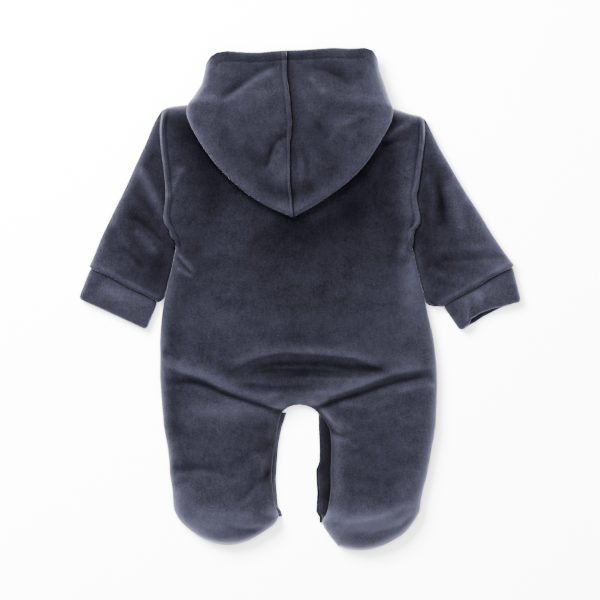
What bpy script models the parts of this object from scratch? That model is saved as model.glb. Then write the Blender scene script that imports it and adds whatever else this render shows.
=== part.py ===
"""Baby footed sleepsuit with a hood, laid flat on its front.

Sizes in the tables are millimetres. +X is the viewer's right, +Y runs from the feet to the
head, +Z is up, and the surface that the suit lies on is z = 0.
"""

import math

import bmesh
import bpy
from mathutils import Vector

MM = 0.001

CLOTH = 2.4  # wall of velour with its backing
SEAM_GAP = 0.3  # between two sewn pieces
SEAM_Z = 7.0  # height of the side seams above the surface
TORSO_HEIGHT = 18.0
FRONT_ROUND = 9.0  # how far in the front panel curls up towards its side seam
FRONT_LAP = 9.0  # each front passes the centre line by this much
LAP_RISE = CLOTH + SEAM_GAP + 0.1
LAP_EASE = 60.0  # width over which a front shifts to make its lap
LAP_Y = (-94.0, -80.0)  # the lap grows to its full width between these
RAISE_Y = (-112.0, -102.5)  # and the upper front is raised to clear it between these
RAISE_X = (38.0, 13.0)  # it comes back down between these, out from the lap's edge
SEAM_SHIFT = 0.02  # below the lap the two fronts part by this share of it
CENTRE_X = -7.0  # centre line of the closing
PANEL_HALF = 110.0  # a body panel's cut edge further out than this is its armhole
BACK_RIM = (0.0, 0.8, 3.2, 8.5, 18.0)  # columns this far in from a rounded edge
FRONT_RIM = (0.0, 1.2, 8.0, 26.0, 50.0)
RIM_SHARE = 0.42  # most of a section's width that such columns take at each edge
EDGE_ROUND = 1.15  # radius of a rounded edge in plan, as a share of its rise
FOLD_EASE = 18.0  # folds fade out over this distance from an edge
MIDDLE = (0.25, -0.4)  # middle of the whole suit in the tables' own places

# Half bodies, from the shoulder to the toe. A row is one section across the cloth:
# outer x, outer y, inner x, inner y.
LEFT_BODY = (
    (-151.0, 207.5, -10.5, 213.5),
    (-153.5, 187.5, -10.3, 193.0),
    (-152.0, 163.5, -9.7, 168.0),
    (-149.0, 139.0, -9.0, 142.0),
    (-147.0, 114.0, -8.0, 115.0),
    (-149.0, 93.0, -7.3, 92.0),
    (-146.5, 78.5, -6.5, 75.0),
    (-137.5, 55.5, -6.0, 54.0),
    (-141.0, 33.5, -5.0, 32.0),
    (-146.0, 11.5, -4.3, 10.0),
    (-150.0, -14.0, -3.4, -14.0),
    (-152.5, -43.5, -2.4, -40.0),
    (-152.5, -62.0, -1.7, -58.0),
    (-152.5, -76.0, -1.0, -72.0),
    (-152.5, -88.0, -0.5, -84.0),
    (-151.7, -98.0, 0.0, -94.0),
    (-151.2, -106.0, 0.2, -102.0),
    (-150.7, -111.5, 0.4, -108.0),
    (-150.5, -115.0, 0.5, -112.0),
    (-150.4, -117.0, 0.5, -114.0),
    (-150.0, -121.0, -7.5, -115.5),
    (-149.5, -126.0, -13.5, -118.5),
    (-149.0, -132.0, -18.5, -123.5),
    (-148.3, -140.0, -21.5, -133.0),
    (-146.0, -153.0, -24.5, -148.0),
    (-143.5, -167.0, -27.0, -164.0),
    (-142.0, -181.0, -29.3, -180.0),
    (-141.3, -194.0, -30.5, -194.0),
    (-139.0, -208.0, -29.5, -208.0),
    (-137.8, -221.0, -28.0, -221.0),
    (-136.5, -232.0, -25.5, -231.5),
    (-131.0, -243.0, -23.0, -240.0),
    (-121.5, -252.0, -29.0, -249.0),
    (-110.5, -259.0, -44.5, -259.0),
)
RIGHT_BODY = (
    (137.0, 198.5, -10.5, 213.5),
    (138.0, 179.0, -10.3, 193.0),
    (135.5, 157.0, -9.7, 168.0),
    (132.5, 133.5, -9.0, 142.0),
    (130.0, 111.5, -8.0, 115.0),
    (132.0, 93.0, -7.3, 92.0),
    (130.5, 80.0, -6.5, 75.0),
    (124.5, 57.0, -6.0, 54.0),
    (129.0, 36.0, -5.0, 32.0),
    (135.0, 11.5, -4.3, 10.0),
    (140.0, -15.0, -3.4, -14.0),
    (146.0, -42.5, -2.4, -40.0),
    (148.5, -62.0, -1.7, -58.0),
    (149.7, -76.0, -1.0, -72.0),
    (150.0, -88.0, -0.5, -84.0),
    (150.0, -98.0, 0.0, -94.0),
    (149.8, -106.0, 0.2, -102.0),
    (149.6, -111.5, 0.4, -108.0),
    (149.5, -115.0, 0.5, -112.0),
    (149.4, -117.0, 0.5, -114.0),
    (149.2, -121.0, 8.0, -115.5),
    (149.0, -126.0, 14.5, -119.0),
    (148.6, -132.0, 20.5, -125.0),
    (148.0, -141.0, 28.5, -134.5),
    (146.0, -153.0, 33.5, -146.0),
    (143.5, -167.0, 35.0, -163.0),
    (141.0, -181.0, 34.5, -180.0),
    (138.4, -194.0, 34.2, -195.0),
    (134.5, -209.0, 34.3, -210.0),
    (131.5, -223.0, 32.5, -224.0),
    (130.0, -234.0, 30.0, -236.0),
    (123.0, -246.5, 26.5, -246.0),
    (112.0, -257.5, 33.0, -258.0),
    (97.0, -266.7, 43.5, -269.7),
)
UNDERARM = 7  # row of the body where the sleeve ends
# Stations down the armhole that the back, the front and the sleeve share.
ARMHOLE_STATIONS = (0.0, 0.04, 0.15, 0.35, 0.65, 1.0, 2.0, 3.0, 4.0, 5.0, 6.0, 6.5, 6.85, 6.96, 7.0)
CROTCH = 19  # row where the two legs part
TOE = len(LEFT_BODY) - 1
TOE_BULGE = {"left": 10.5, "right": 6.5}
TOE_ROWS = 3.0  # rows above the toe that bend with it

# Back neck and shoulder line, and the deeper neck of the front: x, y.
BACK_TOP = {
    "left": ((-151, 207.5), (-137, 209.5), (-122.5, 212), (-93, 216), (-65.5, 220.5),
             (-59, 218), (-45.5, 215.5), (-28, 214), (-10.5, 213.5)),
    "right": ((137, 198.5), (121.5, 202), (104, 207.5), (72, 215), (44.5, 222),
              (38, 219), (25, 216), (7, 214), (-10.5, 213.5)),
}
FRONT_TOP = {
    "left": ((-151, 207.5), (-137, 209.5), (-122.5, 212), (-93, 216), (-65.5, 220.5),
             (-60, 212), (-50, 206), (-30, 200.5), (-10.5, 198.5)),
    "right": ((137, 198.5), (121.5, 202), (104, 207.5), (72, 215), (44.5, 222),
              (39, 213), (29, 206.5), (9, 200.5), (-10.5, 198.5)),
}
NECK_LOW_Y = 190.0  # below the lowest point of the front neck
NECK_POINT = 4  # where the shoulder line ends in the lists above
SHOULDER_ROWS = 4.0  # rows below the shoulder that bend with it

# Height of the upper side over the surface along the body: y, height.
BODY_HEIGHT = (
    (-276, 27.0), (-262, 29.0), (-245, 29.0), (-225, 25.0), (-200, 22.0), (-160, 21.5),
    (-125, 22.0), (-60, 20.0), (-10, TORSO_HEIGHT), (230, TORSO_HEIGHT),
)

# Sleeves, from the armhole to the cuff: overarm x, y, underarm x, y, height.
LEFT_SLEEVE = (
    (-151.6, 208.0, -138.2, 55.0, 16.8),
    (-160.0, 192.0, -140.0, 48.0, 17.0),
    (-168.0, 171.0, -141.5, 40.5, 17.0),
    (-179.0, 147.0, -142.6, 33.0, 16.6),
    (-191.0, 120.5, -144.2, 25.5, 16.2),
    (-204.0, 94.0, -145.8, 18.0, 15.8),
    (-216.0, 69.0, -147.5, 10.5, 15.4),
    (-225.0, 47.0, -149.6, 3.0, 15.4),
    (-230.5, 34.5, -154.5, -4.5, 15.0),
)
RIGHT_SLEEVE = (
    (137.6, 199.0, 125.4, 56.5, 16.8),
    (144.5, 184.5, 127.6, 48.0, 17.0),
    (153.5, 165.5, 129.6, 40.0, 17.0),
    (166.0, 143.5, 131.6, 31.5, 16.6),
    (181.0, 117.5, 133.8, 22.5, 16.2),
    (196.5, 93.0, 136.2, 13.0, 15.8),
    (212.0, 67.5, 138.8, 4.0, 15.4),
    (226.0, 47.0, 143.5, -4.0, 15.4),
    (235.0, 36.0, 156.5, -9.4, 15.0),
)
SLEEVE_STATIONS = (0, 0.4, 1, 1.8, 2.7, 3.6, 4.6, 5.6, 6.6, 7.4, 8)
CUFF_INSET = 1.6  # the cuff is narrower than the sleeve's end at each side
CUFF_HEIGHT = 12.5
CUFF_RIM = (0.0, 0.8, 3.2, 9.0)
CUFF_STATIONS = (0.0, 0.08, 0.35, 0.65, 0.9, 1.0)  # shares from the seam to the mouth
MOUTH_START = 0.3  # the mouth's drawn back layer leaves the straight band here
CUFF_MOUTH = {"left": ((-241.5, 0.0), (-169.0, -33.0)), "right": ((242.0, -3.5), (177.5, -34.3))}
# How far the upper layer of the mouth is drawn back: share across, distance.
MOUTH_DRAWN_BACK = {
    "left": ((0.0, 0.0), (1.0, 0.0)),
    "right": ((0.0, 0.0), (0.25, 2.5), (0.45, 5.5), (0.6, 8.0), (0.75, 4.5), (1.0, 0.0)),
}

# Hood halves, from the face edge to the crown tip. A row runs from the centre seam on top
# over the outline and back below by a knee to its sewn end: seam x, seam y, outline x,
# outline y, knee x, knee y, end x, end y, height of the lower layer, height of the top.
LEFT_HOOD = (
    (-14.0, 273.0, -103.0, 257.0, -50.0, 248.0, -10.9, 199.9, 0.0, 22.0),
    (-13.4, 262.0, -105.2, 246.0, -53.0, 240.0, -24.0, 201.8, 0.0, 23.5),
    (-12.6, 252.0, -108.0, 236.0, -56.0, 234.0, -38.0, 205.3, 0.0, 25.0),
    (-12.0, 242.0, -113.0, 227.5, -59.5, 229.0, -49.0, 209.5, 0.0, 27.0),
    (-11.5, 233.0, -117.0, 221.5, -62.8, 225.6, -58.5, 214.2, 0.0, 29.0),
    (-11.0, 225.5, -120.0, 217.6, -64.0, 223.2, -61.8, 221.8, 9.0, 31.0),
    (-10.6, 218.0, -122.5, 213.5, -92.0, 217.0, -58.5, 217.6, 18.4, 32.5),
    (-10.3, 209.0, -124.0, 206.0, -86.0, 210.0, -38.0, 214.6, 18.4, 33.0),
    (-9.9, 197.0, -122.0, 195.5, -75.0, 200.0, -10.6, 213.2, 18.4, 33.4),
    (-9.5, 181.0, -115.5, 181.5, -65.0, 187.0, -10.1, 195.0, 18.4, 33.4),
    (-9.2, 164.0, -105.0, 164.5, -58.0, 170.0, -9.6, 175.0, 18.4, 33.0),
    (-8.8, 147.0, -91.0, 146.0, -50.0, 151.0, -9.0, 153.0, 18.4, 32.2),
    (-8.3, 131.0, -74.0, 128.5, -41.0, 132.0, -8.4, 133.0, 18.4, 31.2),
    (-7.9, 117.0, -55.5, 113.5, -31.0, 116.0, -7.9, 117.0, 18.4, 30.2),
    (-7.5, 106.0, -36.0, 101.5, -21.0, 105.0, -7.5, 106.0, 18.4, 29.0),
    (-7.2, 99.5, -20.5, 94.5, -14.0, 98.0, -7.2, 99.5, 18.4, 28.0),
    (-7.0, 96.0, -7.0, 89.0, -7.0, 94.0, -7.0, 96.0, 18.4, 27.0),
)
RIGHT_HOOD = (
    (-14.0, 273.0, 84.5, 262.5, 30.0, 250.0, -10.1, 199.9, 0.0, 22.0),
    (-13.4, 262.0, 86.0, 251.0, 33.0, 242.0, 4.0, 202.3, 0.0, 23.5),
    (-12.6, 252.0, 88.6, 240.0, 36.0, 236.0, 18.0, 206.3, 0.0, 25.0),
    (-12.0, 242.0, 92.8, 230.0, 39.0, 231.0, 29.5, 211.2, 0.0, 27.0),
    (-11.5, 233.0, 96.8, 222.0, 42.0, 227.0, 38.0, 216.0, 0.0, 29.0),
    (-11.0, 225.5, 99.5, 216.5, 43.2, 225.0, 41.0, 223.4, 9.0, 31.0),
    (-10.6, 218.0, 101.6, 211.5, 71.0, 217.5, 37.8, 218.6, 18.4, 32.5),
    (-10.3, 209.0, 103.2, 204.5, 66.0, 210.0, 17.0, 215.0, 18.4, 33.0),
    (-9.9, 197.0, 100.5, 193.5, 55.0, 200.0, -10.4, 213.2, 18.4, 33.4),
    (-9.5, 181.0, 93.5, 180.0, 46.0, 187.0, -10.1, 195.0, 18.4, 33.4),
    (-9.2, 164.0, 83.0, 162.5, 39.0, 170.0, -9.6, 175.0, 18.4, 33.0),
    (-8.8, 147.0, 70.5, 145.0, 31.0, 151.0, -9.0, 153.0, 18.4, 32.2),
    (-8.3, 131.0, 54.0, 128.5, 23.0, 132.0, -8.4, 133.0, 18.4, 31.2),
    (-7.9, 117.0, 34.5, 114.0, 13.0, 116.0, -7.9, 117.0, 18.4, 30.2),
    (-7.5, 106.0, 16.5, 102.0, 5.0, 105.0, -7.5, 106.0, 18.4, 29.0),
    (-7.2, 99.5, 4.5, 95.2, -1.0, 98.0, -7.2, 99.5, 18.4, 28.0),
    (-7.0, 96.0, -7.0, 89.0, -7.0, 94.0, -7.0, 96.0, 18.4, 27.0),
)
TIP = len(LEFT_HOOD) - 1
# The face edge bows out from the straight line between its ends: share across, bow.
FACE_BOW = {
    "left": ((0.0, 0.0), (0.27, 3.4), (0.5, 1.2), (0.7, 4.2), (0.86, 6.0), (0.94, 5.0), (1.0, 0.0)),
    "right": ((0.0, 0.0), (0.15, 0.8), (0.5, 6.5), (0.7, 7.4), (0.86, 9.2), (0.95, 7.0), (1.0, 0.0)),
}
HOOD_RIM = 9.0  # rounding of the hood's folded outline
HOOD_PUFF = 1.5  # the top layer stands this much higher between seam and outline
HOOD_TOP_COLUMNS = 5
FACE_ROWS = 2.5  # rows that bend with the face edge

# Largest folds of the upper side: start x, y, end x, y, sag, width above, width below, height.
BODY_FOLDS = (
    (-151.0, -67.0, -16.0, -119.0, 3.0, 26.0, 8.0, 3.6),
    (149.5, -79.0, 12.0, -117.0, 3.0, 26.0, 8.0, 3.6),
    (-60.0, -74.0, 104.0, -79.0, 14.0, 12.0, 12.0, 1.8),
    (-90.0, -88.0, 102.0, -84.0, 6.0, 12.0, 10.0, -2.6),
)
SLEEVE_FOLDS = {
    "left": (
        (-178.0, 150.0, -152.0, 84.0, 0.0, 11.0, 11.0, 1.8),
        (-186.0, 116.0, -154.0, 64.0, 0.0, 13.0, 13.0, -2.2),
        (-184.0, 78.0, -160.0, 36.0, 0.0, 11.0, 11.0, 1.8),
    ),
    "right": (
        (150.0, 140.0, 166.0, 64.0, 0.0, 13.0, 13.0, -2.2),
        (168.0, 110.0, 190.0, 60.0, 0.0, 13.0, 13.0, 1.8),
    ),
}

# Placket strips beside the inner legs: y, x of the free edge, from the toe up.
PLACKET_EDGE = {
    "left": ((-238.0, -20.2), (-234.0, -21.4), (-229.0, -24.6), (-221.0, -25.4), (-200.0, -27.0),
             (-181.0, -25.9), (-161.0, -24.3), (-142.5, -20.7), (-131.5, -17.0), (-125.0, -14.8)),
    "right": ((-241.0, 22.6), (-235.0, 18.6), (-230.5, 19.0), (-214.0, 19.9), (-201.0, 19.0),
              (-189.0, 18.6), (-180.0, 22.2), (-166.7, 22.5), (-148.0, 21.8), (-127.0, 21.2)),
}
PLACKET_STATIONS = (22, 23, 25, 27, 29, 30, 31)
PLACKET_LEAST = 0.8  # least width of a layer's visible edge
PLACKET_LAYER = 1.5
PLACKET_STEP = {"left": 1.0, "right": 3.0}  # the upper layer's edge lies back by this

STUD_Y = (175.0, 120.0, 65.0, 10.0, -45.0)
STUD_RADIUS = 5.5
STUD_HEIGHT = 1.0
STUD_RECESS = 1.5
STUD_BEVEL = 0.6
STUD_SIDES = 20
STUD_LINE = ((-114.0, 0.5), (213.0, -10.4))  # y, x of the line that the studs stand on

VELOUR = (0.055, 0.06, 0.095, 1.0)
METAL = (0.35, 0.36, 0.40, 1.0)


def mix(a, b, share):
    """The value between two numbers or tuples."""
    if isinstance(a, tuple):
        return tuple(p + (q - p) * share for p, q in zip(a, b))
    return a + (b - a) * share


def smooth(share):
    """An even rise from 0 to 1."""
    share = min(max(share, 0.0), 1.0)
    return share * share * (3.0 - 2.0 * share)


def between(limits, value):
    """An even rise from 0 at the first limit to 1 at the second."""
    return smooth((value - limits[0]) / (limits[1] - limits[0]))


def along(rows, station):
    """A row of a table at a station between its rows, on a smooth curve through them."""
    last = len(rows) - 1
    station = min(max(station, 0.0), float(last))
    k = min(int(station), last - 1)
    t = station - k
    before, start, end, after = (rows[min(max(k + n, 0), last)] for n in (-1, 0, 1, 2))
    out = []
    for a, b, c, d in zip(before, start, end, after):
        bend = (2 * a - 5 * b + 4 * c - d) * t * t + (3 * b - 3 * c + d - a) * t ** 3
        out.append(b + 0.5 * ((c - a) * t + bend))
    return tuple(out)


def read(table, key):
    """A value from a two-column table, in a straight line between its rows."""
    if key <= table[0][0]:
        return table[0][1]
    for (a, low), (b, high) in zip(table, table[1:]):
        if key <= b:
            return mix(low, high, (key - a) / (b - a))
    return table[-1][1]


def run_length(points):
    """Length of a line through points."""
    return sum(math.dist(a, b) for a, b in zip(points, points[1:]))


def spaced(points, share):
    """The point at a share of a line's length."""
    want = share * run_length(points)
    for a, b in zip(points, points[1:]):
        step = math.dist(a, b)
        if want <= step:
            return mix(tuple(a), tuple(b), want / step)
        want -= step
    return tuple(points[-1])


def round_up(share):
    """Quarter circle: 0 at the edge, 1 one radius in."""
    share = min(max(share, 0.0), 1.0)
    return math.sqrt(1.0 - (1.0 - share) ** 2)


BODY = {"left": LEFT_BODY, "right": RIGHT_BODY}
SLEEVE = {"left": LEFT_SLEEVE, "right": RIGHT_SLEEVE}
HOOD = {"left": LEFT_HOOD, "right": RIGHT_HOOD}
SIDES = ("left", "right")


def armhole(side, share):
    """Point of the armhole, from the shoulder tip to the underarm."""
    return along(BODY[side], share * UNDERARM)[:2]


def armhole_across(side, y):
    """Level direction square to the armhole at a height along the body."""
    curve = [armhole(side, k / 20) for k in range(21)]
    near = min(range(20), key=lambda k: abs(0.5 * (curve[k][1] + curve[k + 1][1]) - y))
    a, b = curve[near], curve[near + 1]
    return Vector((a[1] - b[1], b[0] - a[0], 0.0)).normalized()


def toe_point(side, station, across):
    """How far the toe's round end reaches past the straight section."""
    weight = max(0.0, 1.0 - (TOE - station) / TOE_ROWS) ** 2
    return -TOE_BULGE[side] * weight * 4.0 * across * (1.0 - across)


def body_plan(side, station, across, top):
    """Plan point of a half body: across runs from the outer edge to the centre or inseam."""
    outer_x, outer_y, inner_x, inner_y = along(BODY[side], station)
    x, y = mix(outer_x, inner_x, across), mix(outer_y, inner_y, across)
    weight = 1.0 - smooth(station / SHOULDER_ROWS)
    if weight:
        edge = spaced(top, across)
        straight = mix(BODY[side][0][:2], BODY[side][0][2:], across)
        x += (edge[0] - straight[0]) * weight
        y += (edge[1] - straight[1]) * weight
    return x, y + toe_point(side, station, across)


def outline_lines():
    """The rounded edges of the suit in plan, as short straight pieces."""
    lines = []
    for side in SIDES:
        rows = BODY[side]
        steps = [UNDERARM + k * 0.5 for k in range(2 * (TOE - UNDERARM) + 1)]
        lines.append([along(rows, s)[:2] for s in steps])
        lines.append([along(rows, s)[2:] for s in steps if s >= CROTCH])
        lines.append([body_plan(side, TOE, k / 10, BACK_TOP[side]) for k in range(11)])
        lines.append(list(BACK_TOP[side][:NECK_POINT + 1]))
        count = 2 * (len(SLEEVE[side]) - 1)
        lines.append([along(SLEEVE[side], k * 0.5)[:2] for k in range(count + 1)])
        lines.append([along(SLEEVE[side], k * 0.5)[2:4] for k in range(count + 1)])
    return [(a, b) for line in lines for a, b in zip(line, line[1:])]


def edge_distance(x, y):
    """Distance in plan to the nearest rounded edge."""
    best = 1e9
    for (ax, ay), (bx, by) in OUTLINE:
        dx, dy = bx - ax, by - ay
        t = ((x - ax) * dx + (y - ay) * dy) / max(dx * dx + dy * dy, 1e-9)
        t = min(max(t, 0.0), 1.0)
        best = min(best, math.hypot(x - ax - t * dx, y - ay - t * dy))
    return best


def fold_height(x, y, folds):
    """Sum of the folds at a plan point. A fold is steep on its lower side."""
    total = 0.0
    for ax, ay, bx, by, sag, wide_above, wide_below, height in folds:
        dx, dy = bx - ax, by - ay
        length = math.hypot(dx, dy)
        t = ((x - ax) * dx + (y - ay) * dy) / length ** 2
        if -0.1 < t < 1.1:
            off = ((y - ay) * dx - (x - ax) * dy) / length * (1 if dx > 0 else -1)
            off -= sag * 4.0 * t * (1.0 - t) * (1 if height > 0 and sag > 5 else -1)
            width = wide_above if off > 0 else wide_below
            ends = smooth((t + 0.1) / 0.25) * smooth((1.1 - t) / 0.25)
            total += height * ends * math.exp(-((off / width) ** 2) * 1.6)
    return total


def upper_z(x, y, height, folds):
    """Height of the upper cloth over the surface."""
    inside = edge_distance(x, y)
    rise = height - SEAM_Z
    rounded = round_up(inside / (EDGE_ROUND * rise))
    return SEAM_Z + rise * rounded + fold_height(x, y, folds) * smooth(inside / FOLD_EASE)


def on_outline(side, station, across, top):
    """Whether a point of a half body lies on its side seam, inseam, toe or shoulder seam."""
    if station >= TOE or (across <= 0.0 and station >= UNDERARM):
        return True
    if across >= 1.0:
        return station >= CROTCH
    return station <= 0.0 and across <= run_length(top[:NECK_POINT + 1]) / run_length(top)


def lower_z(x, y):
    """Height of the lower cloth's outer side, flat but for its edges."""
    return SEAM_Z * (1.0 - round_up(edge_distance(x, y) / FRONT_ROUND))


def sheet_mesh(rows, closed=False):
    """A mesh through rows of points. The faces look to the left of a row's run."""
    mesh = bmesh.new()
    grid = [[mesh.verts.new(p) for p in row] for row in rows]
    count = len(rows[0])
    for low, high in zip(grid, grid[1:]):
        for k in range(count if closed else count - 1):
            n = (k + 1) % count
            mesh.faces.new((low[k], low[n], high[n], high[k]))
    return mesh


def thicken(mesh, thickness, edge_rule):
    """Gives an open sheet its inner wall. Cut edges stay square to edge_rule's direction."""
    mesh.normal_update()
    outer = list(mesh.verts)
    inner = {}
    for vert in outer:
        normal = vert.normal.copy()
        rim = [edge.other_vert(vert).co for edge in vert.link_edges if edge.is_boundary]
        if rim:
            facing = sum((f.normal * f.calc_area() for f in vert.link_faces), Vector())
            normal = (rim[0] - rim[1]).cross(edge_rule(vert.co)).normalized()
            if normal.dot(facing) < 0:
                normal.negate()
        inner[vert] = mesh.verts.new(vert.co - normal * thickness)
    rim = [edge for edge in mesh.edges if edge.is_boundary]
    for face in list(mesh.faces):
        mesh.faces.new([inner[v] for v in reversed(face.verts)])
    for edge in rim:
        loop = edge.link_loops[0]
        a, b = loop.vert, loop.link_loop_next.vert
        mesh.faces.new((b, a, inner[a], inner[b]))
    return mesh


def join_doubles(mesh, distance=0.01):
    bmesh.ops.remove_doubles(mesh, verts=mesh.verts, dist=distance)
    return mesh


def material(name, colour, roughness, metallic):
    made = bpy.data.materials.new(name)
    made.use_nodes = True
    shader = made.node_tree.nodes["Principled BSDF"]
    shader.inputs["Base Color"].default_value = colour
    shader.inputs["Roughness"].default_value = roughness
    shader.inputs["Metallic"].default_value = metallic
    made.diffuse_color = colour
    return made


def add_part(name, mesh, look):
    """An object in metres from a mesh in millimetres."""
    bmesh.ops.translate(mesh, verts=mesh.verts, vec=(-MIDDLE[0], -MIDDLE[1], 0.0))
    bmesh.ops.scale(mesh, vec=(MM, MM, MM), verts=mesh.verts)
    bmesh.ops.recalc_face_normals(mesh, faces=mesh.faces)
    data = bpy.data.meshes.new(name)
    mesh.to_mesh(data)
    mesh.free()
    data.materials.append(look)
    data.shade_smooth()
    data.set_sharp_from_angle(angle=math.radians(50))
    part = bpy.data.objects.new(name, data)
    PARTS.objects.link(part)
    return part


def rim_columns(width, rim, middle):
    """Shares across a section: close together at both rounded edges."""
    fit = min(1.0, RIM_SHARE * width / rim[-1])
    left = [d * fit / width for d in rim]
    right = [1.0 - share for share in reversed(left)]
    step = (right[0] - left[-1]) / (middle + 1)
    return left + [left[-1] + step * (k + 1) for k in range(middle)] + right


def make_back():
    """Back, leg backs and feet in one piece of cloth."""
    stations = list(ARMHOLE_STATIONS) + list(range(UNDERARM + 1, TOE))
    stations += [TOE - 0.6, TOE - 0.25, TOE - 0.08, TOE]
    whole = bmesh.new()
    for side in SIDES:
        rows = []
        for station in stations:
            outer_x, outer_y, inner_x, inner_y = along(BODY[side], station)
            width = math.hypot(outer_x - inner_x, outer_y - inner_y)
            row = []
            for across in rim_columns(width, BACK_RIM, 3):
                x, y = body_plan(side, station, across, BACK_TOP[side])
                z = upper_z(x, y, read(BODY_HEIGHT, y), BODY_FOLDS)
                if on_outline(side, station, across, BACK_TOP[side]):
                    z = SEAM_Z
                row.append((x, y, z + 0.5 * SEAM_GAP))
            rows.append(row)
        half = sheet_mesh(rows)
        face_up(half)
        data = bpy.data.meshes.new("half")
        half.to_mesh(data)
        half.free()
        whole.from_mesh(data)
        bpy.data.meshes.remove(data)
    join_doubles(whole)
    thicken(whole, CLOTH, lambda p: body_edge(p, p.z < SEAM_Z + 0.5))
    return add_part("back", whole, VELOUR_LOOK)


def face_up(mesh, up=1.0):
    """Turns a sheet's faces so that most of them look up, or down."""
    mesh.normal_update()
    if sum(f.normal.z * f.calc_area() for f in mesh.faces) * up < 0:
        bmesh.ops.reverse_faces(mesh, faces=mesh.faces)


def body_edge(point, at_seam):
    """Direction that a body panel's cut edge faces."""
    if at_seam:
        return Vector((0.0, 0.0, 1.0))
    side = "left" if point.x < CENTRE_X else "right"
    if abs(point.x - CENTRE_X) > PANEL_HALF:
        return armhole_across(side, point.y)
    return Vector((0.0, 1.0, 0.0))


def make_front(side):
    """Front, leg and foot of one side. The right front passes over the left one inside."""
    stations = list(ARMHOLE_STATIONS) + [8, 9, 10, 12, 14, 16, 18, 19, 20, 21, 22, 23]
    stations += [25, 27, 29, 30, 31, 32, TOE - 0.25, TOE]
    lap = FRONT_LAP if side == "left" else -FRONT_LAP
    rows = []
    for station in stations:
        outer_x, outer_y, inner_x, inner_y = along(BODY[side], station)
        width = math.hypot(outer_x - inner_x, outer_y - inner_y)
        row = []
        for across in rim_columns(width, FRONT_RIM, 1):
            x, y = body_plan(side, station, across, FRONT_TOP[side])
            z = lower_z(x, y)
            if on_outline(side, station, across, FRONT_TOP[side]):
                z = SEAM_Z - SEAM_GAP
            reach = max(0.0, 1.0 - (1.0 - across) * width / LAP_EASE)
            x += mix(-SEAM_SHIFT * lap, lap, between(LAP_Y, y)) * reach
            if side == "right":
                z += LAP_RISE * between(RAISE_X, x - inner_x - FRONT_LAP) * between(RAISE_Y, y)
            row.append((x, y, z))
        rows.append(row)
    panel = sheet_mesh(rows)
    face_up(panel, -1.0)
    thicken(panel, CLOTH, front_edge)
    return add_part("front_" + side, panel, VELOUR_LOOK)


def front_edge(point):
    """Direction that a front's cut edge faces."""
    if point.z > SEAM_Z - 1.0:
        return Vector((0.0, 0.0, 1.0))
    side = "left" if point.x < CENTRE_X else "right"
    if abs(point.x - CENTRE_X) > PANEL_HALF:
        return armhole_across(side, point.y)
    if point.y > NECK_LOW_Y and abs(point.x - CENTRE_X) > FRONT_LAP + 3.0:
        return Vector((0.0, 1.0, 0.0))
    return Vector((1.0, 0.0, 0.0))


def ring(start, end, shares, bend, top_of, below_of, mid):
    """Closed section of a flat tube between its two edges, over the top and back below."""
    points = []
    for share in shares:
        x, y = mix(start, end, share)
        bx, by = bend(share)
        z = mid if share in (0.0, 1.0) else top_of(x + bx, y + by)
        points.append((x + bx, y + by, z))
    for share in reversed(shares[1:-1]):
        x, y = mix(start, end, share)
        bx, by = bend(share)
        points.append((x + bx, y + by, below_of(x + bx, y + by)))
    return points


def make_sleeve(side):
    """Sleeve from the armhole to the cuff seam, one tube laid flat."""
    table = SLEEVE[side]
    shares = [station / UNDERARM for station in ARMHOLE_STATIONS]
    rows = []
    for station in SLEEVE_STATIONS:
        ax, ay, bx, by, height = along(table, station)
        weight = 1.0 - station / (len(table) - 1)

        def bend(share):
            cut = armhole(side, share)
            line = mix(armhole(side, 0.0), armhole(side, 1.0), share)
            return (cut[0] - line[0]) * weight, (cut[1] - line[1]) * weight

        def top_of(x, y):
            return upper_z(x, y, height, SLEEVE_FOLDS[side])

        rows.append(ring((ax, ay), (bx, by), shares, bend, top_of, lower_z, SEAM_Z))
    tube = sheet_mesh(rows, closed=True)
    outward(tube)
    out = cuff_frame(side)[1]
    wrist = Vector((*table[-1][:2], 0.0))

    def rule(point):
        at_wrist = (point - wrist).dot(out) > -1.0
        return out if at_wrist else armhole_across(side, point.y)

    thicken(tube, CLOTH, rule)
    return add_part("sleeve_" + side, tube, VELOUR_LOOK)


def outward(mesh):
    """Turns a tube's faces so that those of its upper side look up."""
    mesh.normal_update()
    middle = sum((v.co.z for v in mesh.verts)) / len(mesh.verts)
    top = [f for f in mesh.faces if f.calc_center_median().z > middle]
    if sum(f.normal.z * f.calc_area() for f in top) < 0:
        bmesh.ops.reverse_faces(mesh, faces=mesh.faces)


def no_bend(_):
    return 0.0, 0.0


def cuff_frame(side):
    """Direction across the cuff's seam and the level direction square to it."""
    ax, ay, bx, by, _ = SLEEVE[side][-1]
    across = Vector((bx - ax, by - ay, 0.0)).normalized()
    out = Vector((across.y, -across.x, 0.0))
    return across, out if out.y < 0 else -out


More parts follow.
